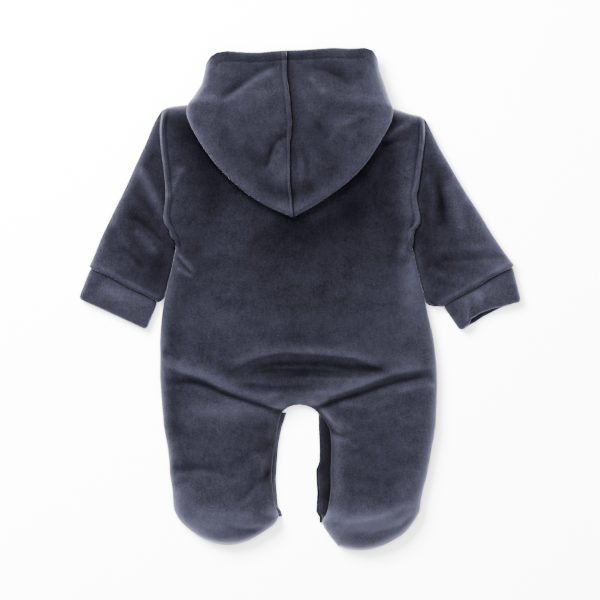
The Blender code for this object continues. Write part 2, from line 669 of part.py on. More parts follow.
def make_cuff(side):
    """Turned band, a little narrower than the sleeve's end."""
    across, out = cuff_frame(side)
    ax, ay, bx, by, _ = SLEEVE[side][-1]
    start_a = Vector((ax, ay, 0)) + across * CUFF_INSET + out * SEAM_GAP * 1.4
    start_b = Vector((bx, by, 0)) - across * CUFF_INSET + out * SEAM_GAP * 1.4
    mouth_a, mouth_b = (Vector((*p, 0)) for p in CUFF_MOUTH[side])
    rows = []
    mid = 0.5 * CUFF_HEIGHT
    for share in CUFF_STATIONS:
        a = start_a.lerp(mouth_a, share)
        b = start_b.lerp(mouth_b, share)
        width = (b - a).length

        def rounded(x, y):
            point = Vector((x, y, 0))
            return mid * round_up(min((point - a).length, (point - b).length) / (1.1 * mid))

        def top_of(x, y):
            return mid + rounded(x, y)

        def below_of(x, y):
            return mid - rounded(x, y)

        shares = rim_columns(width, CUFF_RIM, 3)
        points = ring((a.x, a.y), (b.x, b.y), shares, no_bend, top_of, below_of, mid)
        row = []
        for x, y, z in points:
            part = (Vector((x, y, 0)) - a).length / (b - a).length
            back = read(MOUTH_DRAWN_BACK[side], part) * between((MOUTH_START, 1.0), share)
            back *= smooth((z - mid) / 3.0)
            row.append((x - out.x * back, y - out.y * back, z))
        rows.append(row)
    tube = sheet_mesh(rows, closed=True)
    outward(tube)
    thicken(tube, CLOTH, lambda point: out)
    return add_part("cuff_" + side, tube, VELOUR_LOOK)


def hood_row(side, station):
    """One section of a hood half, from the centre seam over the outline to its sewn end."""
    values = along(HOOD[side], station)
    seam, outline, knee, end = values[0:2], values[2:4], values[4:6], values[6:8]
    under_z, top_z = values[8:10]
    gap = 0.5 * SEAM_GAP * (-1 if side == "left" else 1)
    half = 0.5 * (top_z - under_z)
    width = math.dist(seam, outline)
    rim = min(HOOD_RIM, 0.8 * width, 1.1 * half)
    points = []
    bow_weight = max(0.0, 1.0 - station / FACE_ROWS) ** 2
    for k in range(HOOD_TOP_COLUMNS):
        share = (1.0 - rim / width) * k / (HOOD_TOP_COLUMNS - 1)
        x, y = mix(seam, outline, share)
        bow = read(FACE_BOW[side], share) * bow_weight
        lift = HOOD_PUFF * smooth(share * 1.2) * smooth((1.0 - share) * 3.0)
        points.append((x, y + bow, top_z + lift * between((27.5, 30.5), top_z)))
    for angle in (60, 30, 0, -30, -60):
        turn = math.radians(angle)
        share = 1.0 - rim / width * (1.0 - math.cos(turn))
        x, y = mix(seam, outline, share)
        bow = read(FACE_BOW[side], share) * bow_weight if angle > 0 else 0.0
        points.append((x, y + bow, under_z + half * (1.0 + math.sin(turn))))
    start = mix(outline, knee, rim / max(math.dist(outline, knee), rim))
    for share in (0.0, 0.35, 0.7, 1.0):
        points.append((*mix(start, knee, share), under_z))
    for share in (0.4, 0.75, 1.0):
        points.append((*mix(knee, end, share), under_z))
    at_seam = range(len(points)) if station == TIP else (0, len(points) - 1)
    return [(x + (gap if k in at_seam else 0.0), y, z) for k, (x, y, z) in enumerate(points)]


def make_hood(side):
    """Half of the hood: crown side on top, cheek and back of the neck below."""
    rows = [hood_row(side, station) for station in range(TIP + 1)]
    shell = sheet_mesh(rows)
    shell.normal_update()
    top = [f for f in shell.faces if f.calc_center_median().z > 24.0]
    if sum(f.normal.z * f.calc_area() for f in top) < 0:
        bmesh.ops.reverse_faces(shell, faces=shell.faces)

    def rule(point):
        if abs(point.x + 10.0) < 6.0:
            return Vector((1.0, 0.0, 0.0))
        return Vector((0.0, 1.0, 0.0))

    thicken(shell, CLOTH, rule)
    return add_part("hood_" + side, shell, VELOUR_LOOK)


def make_placket(side):
    """Two layers of the strip that closes the inner leg, seen past the leg's edge."""
    sign = 1 if side == "left" else -1
    rows = []
    for station in PLACKET_STATIONS:
        leg_x, y = along(BODY[side], station)[2:]
        leg_x += sign * SEAM_GAP
        edge_x = read(PLACKET_EDGE[side], y)
        step_x = edge_x - sign * PLACKET_STEP[side]
        if (step_x - leg_x) * sign < PLACKET_LEAST:
            step_x = leg_x + sign * PLACKET_LEAST
        if (edge_x - step_x) * sign < PLACKET_LEAST:
            edge_x = step_x + sign * PLACKET_LEAST
        low, high = PLACKET_LAYER, 2 * PLACKET_LAYER
        root = SEAM_Z - 2 * SEAM_GAP
        section = ((leg_x, root - high), (edge_x, 0), (edge_x, low), (step_x, low + 0.2),
                   (step_x, high), (leg_x, root))
        rows.append([(x, y, z) for x, z in section])
    strip = sheet_mesh(rows, closed=True)
    bmesh.ops.contextual_create(strip, geom=[e for e in strip.edges if e.is_boundary])
    return add_part("leg_placket_" + side, strip, VELOUR_LOOK)


def cut_recesses(front):
    """Shallow seats in the left front that the press studs lie in."""
    for number, y in enumerate(STUD_Y):
        bpy.ops.mesh.primitive_cylinder_add(
            vertices=STUD_SIDES, radius=(STUD_RADIUS + SEAM_GAP) * MM,
            depth=2 * STUD_RECESS * MM,
            location=((read(STUD_LINE, y) - MIDDLE[0]) * MM, (y - MIDDLE[1]) * MM, 0.0))
        cutter = bpy.context.object
        cutter.name = "seat_%d" % (number + 1)
        for held in list(cutter.users_collection):
            held.objects.unlink(cutter)
        CUTTERS.objects.link(cutter)
        cutter.hide_render = True
        cutter.display_type = "WIRE"
        cut = front.modifiers.new("seat_%d" % (number + 1), "BOOLEAN")
        cut.operation = "DIFFERENCE"
        cut.solver = "EXACT"
        cut.object = cutter


def make_studs():
    """Press studs of the front closing, just clear of the surface."""
    for number, y in enumerate(STUD_Y):
        stud = bmesh.new()
        bmesh.ops.create_cone(stud, cap_ends=True, segments=STUD_SIDES,
                              radius1=STUD_RADIUS, radius2=STUD_RADIUS - STUD_BEVEL,
                              depth=STUD_HEIGHT)
        middle = STUD_RECESS - SEAM_GAP - 0.5 * STUD_HEIGHT
        bmesh.ops.translate(stud, verts=stud.verts, vec=(read(STUD_LINE, y), y, middle))
        add_part("stud_%d" % (number + 1), stud, METAL_LOOK)


def new_collection(name):
    made = bpy.data.collections.new(name)
    bpy.context.scene.collection.children.link(made)
    return made


for old in list(bpy.data.objects):
    bpy.data.objects.remove(old, do_unlink=True)

PARTS = new_collection("sleepsuit")
CUTTERS = new_collection("cutters")
VELOUR_LOOK = material("velour", VELOUR, 0.9, 0.0)
METAL_LOOK = material("stud_metal", METAL, 0.35, 1.0)
OUTLINE = outline_lines()

make_back()
for half in SIDES:
    make_front(half)
    make_sleeve(half)
    make_cuff(half)
    make_hood(half)
    make_placket(half)
cut_recesses(bpy.data.objects["front_left"])
make_studs()
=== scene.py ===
"""Looks of the hooded velour sleepsuit, laid flat on its front.

Tables are in millimetres from the middle of the cutting plan. +X is the viewer's right, +Y
runs from the feet to the head, +Z is up. put() brings a plan point into the frame in metres.
"""

import math

import bmesh
import bpy
import numpy as np
from mathutils import Matrix, Vector
from mathutils.bvhtree import BVHTree


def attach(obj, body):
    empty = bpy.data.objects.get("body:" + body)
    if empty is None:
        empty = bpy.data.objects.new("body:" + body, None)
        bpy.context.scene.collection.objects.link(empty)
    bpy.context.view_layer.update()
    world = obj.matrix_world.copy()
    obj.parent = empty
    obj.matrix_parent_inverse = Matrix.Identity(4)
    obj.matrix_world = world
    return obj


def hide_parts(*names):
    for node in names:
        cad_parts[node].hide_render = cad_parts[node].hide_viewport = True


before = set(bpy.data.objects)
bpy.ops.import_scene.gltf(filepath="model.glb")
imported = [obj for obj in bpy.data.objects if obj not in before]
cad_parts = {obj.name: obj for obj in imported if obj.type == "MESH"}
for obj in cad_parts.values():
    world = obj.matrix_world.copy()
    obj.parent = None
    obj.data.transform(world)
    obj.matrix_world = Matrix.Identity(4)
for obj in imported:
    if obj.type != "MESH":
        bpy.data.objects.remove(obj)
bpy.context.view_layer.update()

MM = 0.001
MIDDLE = (0.25, -0.4)  # plan point at the frame's origin
CLOTH = 1.9  # wall of the velour
SEAM_GAP = 0.3
SEAM_Z = 7.0  # height of the seam round the outline
TORSO_HEIGHT = 18.0
FRONT_ROUND = 9.0  # width of the round under edge
EDGE_ROUND = 1.15  # width of the round upper edge against its height
FOLD_ENDS = 0.22  # share of its length over which a fold fades at each end
# Rows of the half bodies.
UNDERARM = 7
CROTCH = 19
SHOULDER_ROWS = 4.0
TOE_ROWS = 3.0
NECK_POINT = 5  # of the top edge's points
TOE_BULGE = {"left": 10.5, "right": 6.5}
ABOVE = 90.0  # a height that is over every piece
GROOVE = 6.6  # from the edge of the armhole to its stitches
HEM = 10.6  # from the hood's face edge to its stitches
SIDES = ("left", "right")

# Half bodies: outer x, outer y, inner x, inner y.
BODY = {
    "left": (
        (-151, 207.5, -10.5, 213.5), (-153.5, 187.5, -10.3, 193), (-152, 163.5, -9.7, 168),
        (-149, 139, -9, 142), (-147, 114, -8, 115), (-149, 93, -7.3, 92), (-146.5, 78.5, -6.5, 75),
        (-137.5, 55.5, -6, 54), (-141, 33.5, -5, 32), (-146, 11.5, -4.3, 10), (-151.2, -14, -3.4, -14),
        (-153.8, -43.5, -2.4, -40), (-153.8, -62, -1.7, -58), (-153.9, -76, -1, -72),
        (-153.9, -88, -0.5, -84), (-153.1, -98, 0, -94), (-152.7, -106, 0.2, -102.5),
        (-152.2, -111.5, 0.4, -109.5), (-152, -115, 0.5, -114.5), (-151.9, -117, 0.5, -117),
        (-151.5, -121, -7.5, -118), (-151, -126, -13.8, -120.8), (-150.5, -132, -19, -125.5),
        (-149.9, -140, -22, -134), (-147.6, -153, -24.5, -148), (-145.1, -167, -27, -164),
        (-143.7, -181, -29.3, -180), (-143, -194, -30.5, -194), (-140.7, -208, -29.5, -208),
        (-139.6, -221, -28, -221), (-138.3, -232.1, -25.5, -231.5), (-132.6, -243.6, -23, -240.2),
        (-122.9, -253.1, -29, -249.6), (-111.8, -261.3, -44.5, -260.3),
    ),
    "right": (
        (137, 198.5, -10.5, 213.5), (138, 179, -10.3, 193), (135.5, 157, -9.7, 168),
        (132.5, 133.5, -9, 142), (130, 111.5, -8, 115), (132, 93, -7.3, 92), (130.5, 80, -6.5, 75),
        (124.5, 57, -6, 54), (129, 36, -5, 32), (135, 11.5, -4.3, 10), (141.1, -15, -3.4, -14),
        (147.3, -42.5, -2.4, -40), (149.9, -62, -1.7, -58), (151.2, -76, -1, -72), (151.6, -88, -0.5, -84),
        (151.7, -98, 0, -94), (151.5, -106, 0.2, -102.5), (151.3, -111.5, 0.4, -109.5),
        (151.3, -115, 0.5, -114.5), (151.2, -117, 0.5, -117), (151, -121, 8, -118.3),
        (150.8, -126, 15, -121.5), (150.5, -132, 21, -127), (149.9, -141, 28.5, -135.5),
        (148, -153, 33.5, -146), (145.5, -167, 35, -163), (143.1, -181, 34.5, -180),
        (140.5, -194, 34.2, -195), (136.6, -209, 34.3, -210), (133.7, -223, 32.5, -224),
        (132.1, -234.2, 30, -236), (124.7, -247.3, 25.1, -247), (114.3, -259.3, 31.6, -259.2),
        (98.7, -269, 42, -272.5),
    ),
}
TOE = len(BODY["left"]) - 1
BACK_TOP = {
    "left": ((-151, 207.5), (-146, 210.3), (-137, 212), (-122.5, 213.5), (-93, 216.5), (-65.5, 220.5),
             (-59, 218), (-45.5, 215.5), (-28, 214), (-10.5, 213.5)),
    "right": ((137, 198.5), (133, 201), (121.5, 203.5), (104, 209), (72, 216), (44.5, 222),
              (38, 219), (25, 216), (7, 214), (-10.5, 213.5)),
}
FRONT_NECK = {
    "left": ((-60, 212), (-50, 206), (-30, 200.5), (-10.5, 198.5)),
    "right": ((39, 213), (29, 206.5), (9, 200.5), (-10.5, 198.5)),
}
FRONT_TOP = {side: BACK_TOP[side][:NECK_POINT + 1] + FRONT_NECK[side] for side in SIDES}
# y, height of the upper side over the surface.
BODY_HEIGHT = ((-276, 27), (-262, 29), (-245, 29), (-225, 25), (-200, 22), (-160, 21.5),
               (-125, 22), (-60, 20), (-10, TORSO_HEIGHT), (230, TORSO_HEIGHT))
# Overarm x, y, underarm x, y, height.
SLEEVE = {
    "left": (
        (-151.6, 208, -138.2, 55, 16.8), (-160.6, 192.3, -140, 48, 17), (-169.1, 171.5, -141.5, 40.5, 17),
        (-180.2, 147.6, -142.6, 33, 16.6), (-192.2, 121.1, -144.2, 25.5, 16.2),
        (-205.2, 94.6, -145.8, 18, 15.8), (-217.2, 69.6, -147.5, 10.5, 15.4),
        (-226.2, 47.6, -149.6, 3, 15.4), (-231.8, 35.1, -154.5, -4.5, 15),
    ),
    "right": (
        (137.6, 199, 125.4, 56.5, 16.8), (144.9, 184.8, 127.6, 48, 17), (154.3, 165.9, 129.6, 40, 17),
        (167, 144.1, 131.6, 31.5, 16.6), (182.3, 118.2, 133.8, 22.5, 16.2), (198.1, 93.9, 136.2, 13, 15.8),
        (213.7, 68.5, 138.8, 4, 15.4), (227.8, 48, 143.5, -4, 15.4), (236.5, 36.9, 156.5, -9.4, 15),
    ),
}
CUFF_INSET = 2.5
CUFF_HEIGHT = 12.5
CUFF_MOUTH = {"left": ((-242.9, -0.6), (-169.3, -34.3)), "right": ((243.5, -4), (177.6, -35.6))}
# Share across, how far the mouth's upper and lower layers are drawn back.
MOUTH_DRAWN_BACK = {
    "left": (((0, 0), (0.4, 0.8), (1, 0)), ((0, 0), (1, 0))),
    "right": (((0, 0), (0.12, 2.2), (0.25, 4.2), (0.42, 7), (0.58, 8.3), (0.76, 7.2), (0.86, 2), (1, 0)),
              ((0, 0), (0.12, 2), (0.28, 3.6), (0.57, 3.3), (0.78, 1.5), (1, 0))),
}
# Seam x, y, height of the lower layer, height of the top.
HOOD_SEAM = (
    (-14, 273, 0, 22), (-13.4, 262, 0, 23.5), (-12.6, 252, 0, 25), (-12, 242, 0, 27), (-11.5, 233, 0, 29),
    (-11, 225.5, 9, 31), (-10.6, 218, 18.4, 32.5), (-10.3, 209, 18.4, 33), (-9.9, 197, 18.4, 33.4),
    (-9.5, 181, 18.4, 33.4), (-9.2, 164, 18.4, 33), (-8.8, 147, 18.4, 32.2), (-8.3, 131, 18.4, 31.2),
    (-7.9, 117, 18.4, 30.2), (-7.5, 106, 18.4, 29), (-7.2, 99.5, 18.4, 28), (-7, 96, 18.4, 27),
)
# Outline x, y, knee x, y, end x, y at the same rows.
HOOD_SIDE = {
    "left": (
        (-103, 257, -50, 248, -10.9, 199.9), (-105.2, 246, -53, 240, -24, 201.8),
        (-108, 236, -56, 234, -38, 205.3), (-113, 227.5, -59.5, 229, -49, 209.5),
        (-117, 221.5, -62.8, 225.6, -58.5, 214.2), (-120, 217.6, -64, 223.2, -61.8, 221.8),
        (-122.5, 213.5, -92, 217, -58.5, 217.6), (-124, 206, -86, 210, -38, 214.6),
        (-122, 195.5, -75, 200, -10.6, 213.2), (-115.5, 181.5, -65, 187, -10.1, 195),
        (-105, 164.5, -58, 170, -9.6, 175), (-91, 146, -50, 151, -9, 153),
        (-74, 128.5, -41, 132, -8.4, 133), (-55.5, 113.5, -31, 116, -7.9, 117),
        (-36, 101.5, -21, 105, -7.5, 106), (-20.5, 94.5, -14, 98, -7.2, 99.5), (-7, 89, -7, 94, -7, 96),
    ),
    "right": (
        (86, 263, 30, 250, -10.1, 199.9), (88, 251, 33, 242, 4, 202.3), (92, 240, 36, 236, 18, 206.3),
        (95.3, 230, 39, 231, 29.5, 211.2), (98, 222, 42, 227, 38, 216), (99.5, 216.5, 43.2, 225, 41, 223.4),
        (101.6, 211.5, 71, 217.5, 37.8, 218.6), (103.2, 204.5, 66, 210, 17, 215),
        (100.5, 193.5, 55, 200, -10.4, 213.2), (93.5, 180, 46, 187, -10.1, 195),
        (83, 162.5, 39, 170, -9.6, 175), (70.5, 145, 31, 151, -9, 153), (54, 128.5, 23, 132, -8.4, 133),
        (34.5, 114, 13, 116, -7.9, 117), (16.5, 102, 5, 105, -7.5, 106), (4.5, 95.2, -1, 98, -7.2, 99.5),
        (-7, 89, -7, 94, -7, 96),
    ),
}
HOOD = {side: [seam[:2] + half + seam[2:] for seam, half in zip(HOOD_SEAM, HOOD_SIDE[side])]
        for side in SIDES}
TIP = len(HOOD_SEAM) - 1
FACE_BOW = {
    "left": ((0, 0), (0.17, 1.8), (0.33, 2.9), (0.48, 5.4), (0.64, 9), (0.73, 11), (0.86, 11.4),
             (0.94, 8.6), (1, 1.5)),
    "right": ((0, 0), (0.15, 1.8), (0.5, 7.8), (0.7, 9), (0.86, 11.2), (0.95, 9.2), (1, 1)),
}
HOOD_RIM = 9.0
HOOD_PUFF = 1.5
FACE_ROWS = 2.5
PLACKET_EDGE = {
    "left": (
        (-238, -19.2), (-234, -20.4), (-229, -23.6), (-221, -24.4), (-200, -26), (-181, -24.9),
        (-161, -23.3), (-142.5, -19.7), (-131.5, -16), (-125, -13.8),
    ),
    "right": (
        (-241, 21.9), (-235, 17.9), (-230.5, 18.3), (-214, 19.2), (-201, 18.3), (-189, 17.9), (-180, 21.5),
        (-166.7, 21.8), (-148, 21.1), (-127, 20.5),
    ),
}
PLACKET_STEP = {"left": ((-240, 1), (-120, 1)),
                "right": ((-240, 3.4), (-190, 3), (-178, 1.4), (-120, 0.8))}
PLACKET_LEAST = 0.8
STUD_LINE = ((-114, 0.5), (213, -10.4))
STUD_Y = (175, 120, 65, 10, -45)

# Folds and rolled seams of the upper side. A row holds the width on the left and on the right of
# a line as it runs, the height, which is negative in a trough, and x and y of the line's points.
BACK_FOLDS = (
    # slack of the seat lying over the tops of the legs
    (18, 3, 5, -152, -68, -149, -71, -127, -81, -104, -88, -86, -98, -65, -106, -42, -113, -18, -120, -2,
     -126),
    (5, 8, -3.3, -152, -90, -135, -92, -117, -92, -98, -97, -80, -105, -58, -112, -36, -119, -12, -127, 4,
     -132),
    (3, 18, 5, 151, -76, 126, -79, 100, -84, 84, -90, 66, -97, 42, -105, 24, -111, 10, -117, -4, -124),
    (8, 4, -3.6, 152, -84, 126, -87, 104, -92, 88, -97, 68, -104, 44, -111, 24, -118, 8, -127),
    (6, 4, 1.8, 151, -95, 130, -98, 104, -104), (5, 5, -2, -152, -58, -140, -62, -128, -70),
    # arc over the seat and the shallow dip below it
    (10, 2.6, 2.8, -84, -84, -72, -75, -46, -64, -20, -59, 9, -60, 35, -62, 61, -65, 87, -75, 106, -83),
    (6, 11, -2.4, -64, -82, -20, -71, 30, -71, 78, -81),
    (6, 6, 2.4, -41, -108, -16, -106, 0, -105, 17, -106, 39, -102),
    (2.2, 2.6, 0.7, -58, -80, -24, -76, 20, -77, 58, -80),
    (2.6, 3, -0.8, -36, -88, 4, -85, 52, -87, 92, -84), (3.4, 3, 0.7, -70, -90, -30, -95, 14, -94),
    # inside of the right thigh
    (4, 3.2, -3.4, 20, -124, 33, -143, 44, -150, 57, -155), (6, 3.4, 2.6, 22, -117, 38, -135, 62, -148),
    (3.4, 6, 1.8, 34, -152, 46, -156, 66, -166), (6, 6, 1.2, 40, -116, 80, -120, 110, -112),
    # legs
    (6, 8, -2.6, -145, -184, -126, -188, -104, -186, -86, -188), (5, 5, -1.4, -142, -204, -120, -202),
    (8, 7, -1.5, -30, -156, -55, -172, -81, -191), (6, 6, 1.1, -34, -172, -56, -188, -76, -210),
    (4.5, 7, -2.6, -30, -186, -48, -205, -68, -228), (6, 7, 1, -72, -170, -50, -176, -36, -180),
    (9, 9, -0.8, 60, -196, 90, -204, 118, -200),
    # feet
    (5, 6, -2.8, -86, -250, -62, -254, -38, -253), (8, 8, 1.4, -120, -236, -80, -238, -45, -240),
    (8, 8, 2.8, 34, -252, 70, -246, 100, -238, 129, -224),
    (6, 6, -2.6, 50, -258, 80, -259, 108, -251, 132, -237),
    # under the arms
    (3, 7, 2.4, -126, 145, -133, 133, -138, 120, -145, 105),
    (3.2, 2.4, 3, -139, 54, -130, 44, -122, 35, -114, 26), (3, 2.6, 2.4, -135, 33, -127, 27, -117, 22),
    (3, 2.6, -2.2, -137, 47, -128, 37, -117, 25), (4, 5, 1.8, 127, 78, 118, 60, 111, 42),
    (3.5, 3.5, -1.8, 129, 62, 122, 48, 118, 34), (9, 9, -1.2, 118, 90, 106, 60, 100, 30),
    # shoulders
    (5, 5, 2.6, 92, 177, 108, 184, 124, 193), (5, 6, -1.8, 86, 168, 104, 173, 127, 177),
    (8, 8, 0.9, -112, 200, -100, 188, -90, 170),
)
SLEEVE_FOLDS = {
    "left": (
        (4, 6, 3.2, -176, 149, -165, 124, -154, 101, -149, 84),
        (7, 6, -2.2, -184, 121, -170, 104, -156, 86), (6, 5, -3, -190, 92, -174, 84, -160, 73, -149, 58),
        (5, 6.5, 3, -182, 76, -168, 62, -155, 47), (8, 7, 1.5, -206, 88, -194, 64, -184, 52),
        (6, 6, -2.2, -197, 60, -181, 43, -167, 30), (6, 6, -0.9, -212, 62, -200, 46),
    ),
    "right": (
        (8, 8, -1.8, 150, 150, 157, 104, 160, 70), (5, 5, 1.6, 140, 140, 147, 110, 146, 80),
        (7, 8, 2.2, 160, 130, 172, 96, 180, 66), (6, 6, -1.2, 184, 104, 186, 84, 192, 66),
        (3.5, 5, -2.2, 149, 42, 190, 44, 228, 45), (5, 4, 1.2, 150, 52, 180, 54, 216, 56),
        (6, 6, -1.2, 146, 60, 160, 52, 180, 50), (5, 5, -1.6, 150, 20, 165, 14, 176, 12),
        (5, 5, 1.4, 142, 34, 152, 26, 164, 24),
    ),
}
CUFF_FOLDS = {
    "left": (
        (5, 6, 0.9, -222, 12, -205, 4, -190, -6), (4, 5, -0.6, -232, 22, -226, 8),
        (5, 5, -0.8, -180, 0, -176, -18),
    ),
    "right": (
        (3.5, 3.5, 1.6, 183, 0, 186, -14, 184, -28), (3, 3, -2, 190, 2, 192, -10, 191, -22),
        (3.5, 3.5, 1.4, 198, 8, 201, -4, 199, -14), (3, 3.5, -1.4, 206, 8, 208, -4, 207, -12),
        (4, 4, -0.7, 222, 20, 226, 8), (4, 4, -0.9, 170, -6, 174, -20),
    ),
}
HOOD_FOLDS = {
    "left": (
        # slanting fold from the top of the seam
        (5.5, 6, -2.4, -20, 260, -46, 247, -71, 229, -93, 212),
        (9, 8, 1.1, -27, 252, -40, 243, -58, 233, -70, 222),
        # crease round the pocket beside the seam
        (4.5, 5.5, -3, -10, 181, -22, 175, -30, 166, -33, 155, -38, 138),
        (6, 6, 1.6, -18, 166, -24, 152, -30, 136), (6, 6, -1.4, -15, 118, -26, 118),
        (14, 10, -1.4, -62, 176, -54, 158, -36, 138), (9, 9, 0.9, -84, 196, -70, 182, -58, 166),
    ),
    "right": (
        (6, 8, -2.4, 8, 254, 28, 251, 46, 243, 60, 228), (7, 6, 1.2, 10, 244, 18, 234, 30, 222),
        (2.6, 3.4, 1.8, 2, 156, 3, 142, 3, 124), (3.5, 5, -1.6, 9, 158, 9, 144, 12, 130),
        (5, 6, 1, 14, 160, 22, 148, 36, 144), (5, 6, 1.3, 36, 186, 54, 194, 76, 203),
        (9, 7, -1.6, 16, 196, 26, 182, 38, 178), (6, 5, -1.2, 56, 184, 74, 196),
        (7, 6, 0.9, 50, 168, 66, 176),
    ),
}
# y, sideways sway of the hood's seam.
SEAM_SWAY = ((88, 0), (102, -0.4), (127, -1.9), (150, -1.4), (169, -1.1), (180, 0.6), (194, 2),
             (211, 0.9), (228, 0), (245, -1.4), (262, -0.4), (273, 0))
# y, shift of the armhole's seam towards the right.
PUCKER = {
    "left": ((45, 0), (52, 0.4), (57, 1.4), (61, 2.8), (64, 2.3), (67, 0.8), (71, 1),
             (75, 2.2), (78.5, 0.4), (82, -0.8), (90, -0.6), (98, 0)),
    "right": ((52, 0), (60, 0.2), (65, -0.4), (70, -1.6), (75, -2.3), (79.5, 0.3), (83.5, 1.6),
              (89, 0.9), (97, -0.3), (105, -0.9), (114, -1.3), (122, 0)),
}


def put(x, y, z):
    """Plan points in millimetres as points of the frame in metres."""
    return np.stack([(x - MIDDLE[0]) * MM, (y - MIDDLE[1]) * MM, z * MM], axis=-1)


def unit(value):
    return np.clip(value, 0.0, 1.0)


def smooth(share):
    share = unit(share)
    return share * share * (3.0 - 2.0 * share)


def mix(start, end, share):
    return start + (end - start) * share


def between(limits, value):
    return smooth((value - limits[0]) / (limits[1] - limits[0]))


def along(rows, station):
    """Columns of a table at stations between its rows, on a smooth curve through them."""
    table = np.array(rows, float)
    last = len(table) - 1
    station = np.clip(np.asarray(station, float), 0.0, last)
    k = np.minimum(station.astype(int), last - 1)
    t = (station - k)[..., None]
    a, b, c, d = (table[np.clip(k + n, 0, last)] for n in (-1, 0, 1, 2))
    bend = (2 * a - 5 * b + 4 * c - d) * t * t + (3 * b - 3 * c + d - a) * t ** 3
    out = b + 0.5 * ((c - a) * t + bend)
    return [out[..., n] for n in range(table.shape[1])]


def read(table, key):
    keys = [row[0] for row in table]
    return np.interp(key, keys, [row[1] for row in table])


def ease(table, key):
    """Like read(), but level at each row and smooth between them."""
    keys = np.array([row[0] for row in table])
    values = np.array([row[1] for row in table])
    k = np.clip(np.searchsorted(keys, key) - 1, 0, len(keys) - 2)
    return mix(values[k], values[k + 1], smooth((key - keys[k]) / (keys[k + 1] - keys[k])))


def spaced(points, share):
    """Points at shares of a line's length."""
    line = np.array(points, float)
    steps = np.hypot(*np.diff(line, axis=0).T)
    run = np.concatenate([[0.0], np.cumsum(steps)])
    run /= run[-1]
    return np.interp(share, run, line[:, 0]), np.interp(share, run, line[:, 1])


def run_length(points):
    return sum(math.dist(a, b) for a, b in zip(points, points[1:]))


def round_up(share):
    return np.sqrt(1.0 - (1.0 - unit(share)) ** 2)


def bell(offset, width):
    return np.exp(-((offset / width) ** 2))


def profile(off, rows):
    """Sum of bells across a line. A row holds the offset, width and height of each."""
    return sum(height * bell(off - offset, width) for offset, width, height in rows)


def track(rows, stations, column=0):
    """Plan points from two columns of a table."""
    columns = along(rows, stations)
    return list(zip(columns[column], columns[column + 1]))


def nearest(x, y, line):
    """Signed distance to a line, positive on its left, and how far along it that is."""
    best = np.full(x.shape, 1e9)
    side = np.zeros(x.shape)
    place = np.zeros(x.shape)
    steps = [math.dist(a, b) for a, b in zip(line, line[1:])]
    total = sum(steps)
    run = 0.0
    for ((ax, ay), (bx, by)), step in zip(zip(line, line[1:]), steps):
        dx, dy = bx - ax, by - ay
        t = unit(((x - ax) * dx + (y - ay) * dy) / max(step * step, 1e-9))
        ox, oy = x - ax - t * dx, y - ay - t * dy
        off = np.hypot(ox, oy)
        closer = off < best
        best = np.where(closer, off, best)
        side = np.where(closer, np.sign(dx * oy - dy * ox), side)
        place = np.where(closer, (run + t * step) / total, place)
        run += step
    return best * side, place


def distance(x, y, *lines):
    """Distance to the nearest of some lines."""
    return np.min([np.abs(nearest(x, y, line)[0]) for line in lines], axis=0)


def relief(x, y, folds, squeeze=1.0):
    """Sum of the folds at plan points. Each fades over the ends of its line."""
    total = np.zeros(x.shape)
    for wide_left, wide_right, height, *points in folds:
        off, place = nearest(x, y, list(zip(points[::2], points[1::2])))
        width = np.where(off > 0, wide_left, wide_right) * squeeze
        fade = smooth((place + 0.02) / FOLD_ENDS) * smooth((1.02 - place) / FOLD_ENDS)
        total += height * fade * np.exp(-((off / width) ** 2) * 1.6)
    return total


def body_plan(side, station, across, top):
    outer_x, outer_y, inner_x, inner_y = along(BODY[side], station)
    trunk = station <= CROTCH  # where both halves share the middle line
    middle = np.array(BODY["left"])[:, 2:]
    rows = np.arange(len(middle))
    inner_x = np.where(trunk, np.interp(station, rows, middle[:, 0]), inner_x)
    inner_y = np.where(trunk, np.interp(station, rows, middle[:, 1]), inner_y)
    x = mix(outer_x, inner_x, across)
    y = mix(outer_y, inner_y, across)
    weight = 1.0 - smooth(station / SHOULDER_ROWS)
    edge_x, edge_y = spaced(top, across)
    first = BODY[side][0]
    x = x + (edge_x - mix(first[0], first[2], across)) * weight
    y = y + (edge_y - mix(first[1], first[3], across)) * weight
    bend = unit(1.0 - (TOE - station) / TOE_ROWS) ** 2
    return x, y - TOE_BULGE[side] * bend * 4.0 * across * (1.0 - across)


def outline_lines():
    lines = []
    for side in SIDES:
        steps = np.arange(UNDERARM, TOE + 0.01, 0.5)
        lines.append(track(BODY[side], steps))
        lines.append(track(BODY[side], steps[steps >= CROTCH], 2))
        across = np.linspace(0.0, 1.0, 13)
        toe = body_plan(side, np.full(13, float(TOE)), across, BACK_TOP[side])
        lines.append(list(zip(*toe)))
        lines.append(list(BACK_TOP[side][:NECK_POINT + 1]))
        steps = np.arange(0.0, len(SLEEVE[side]) - 0.9, 0.5)
        lines += [track(SLEEVE[side], steps), track(SLEEVE[side], steps, 2)]
    return lines


OUTLINE = outline_lines()


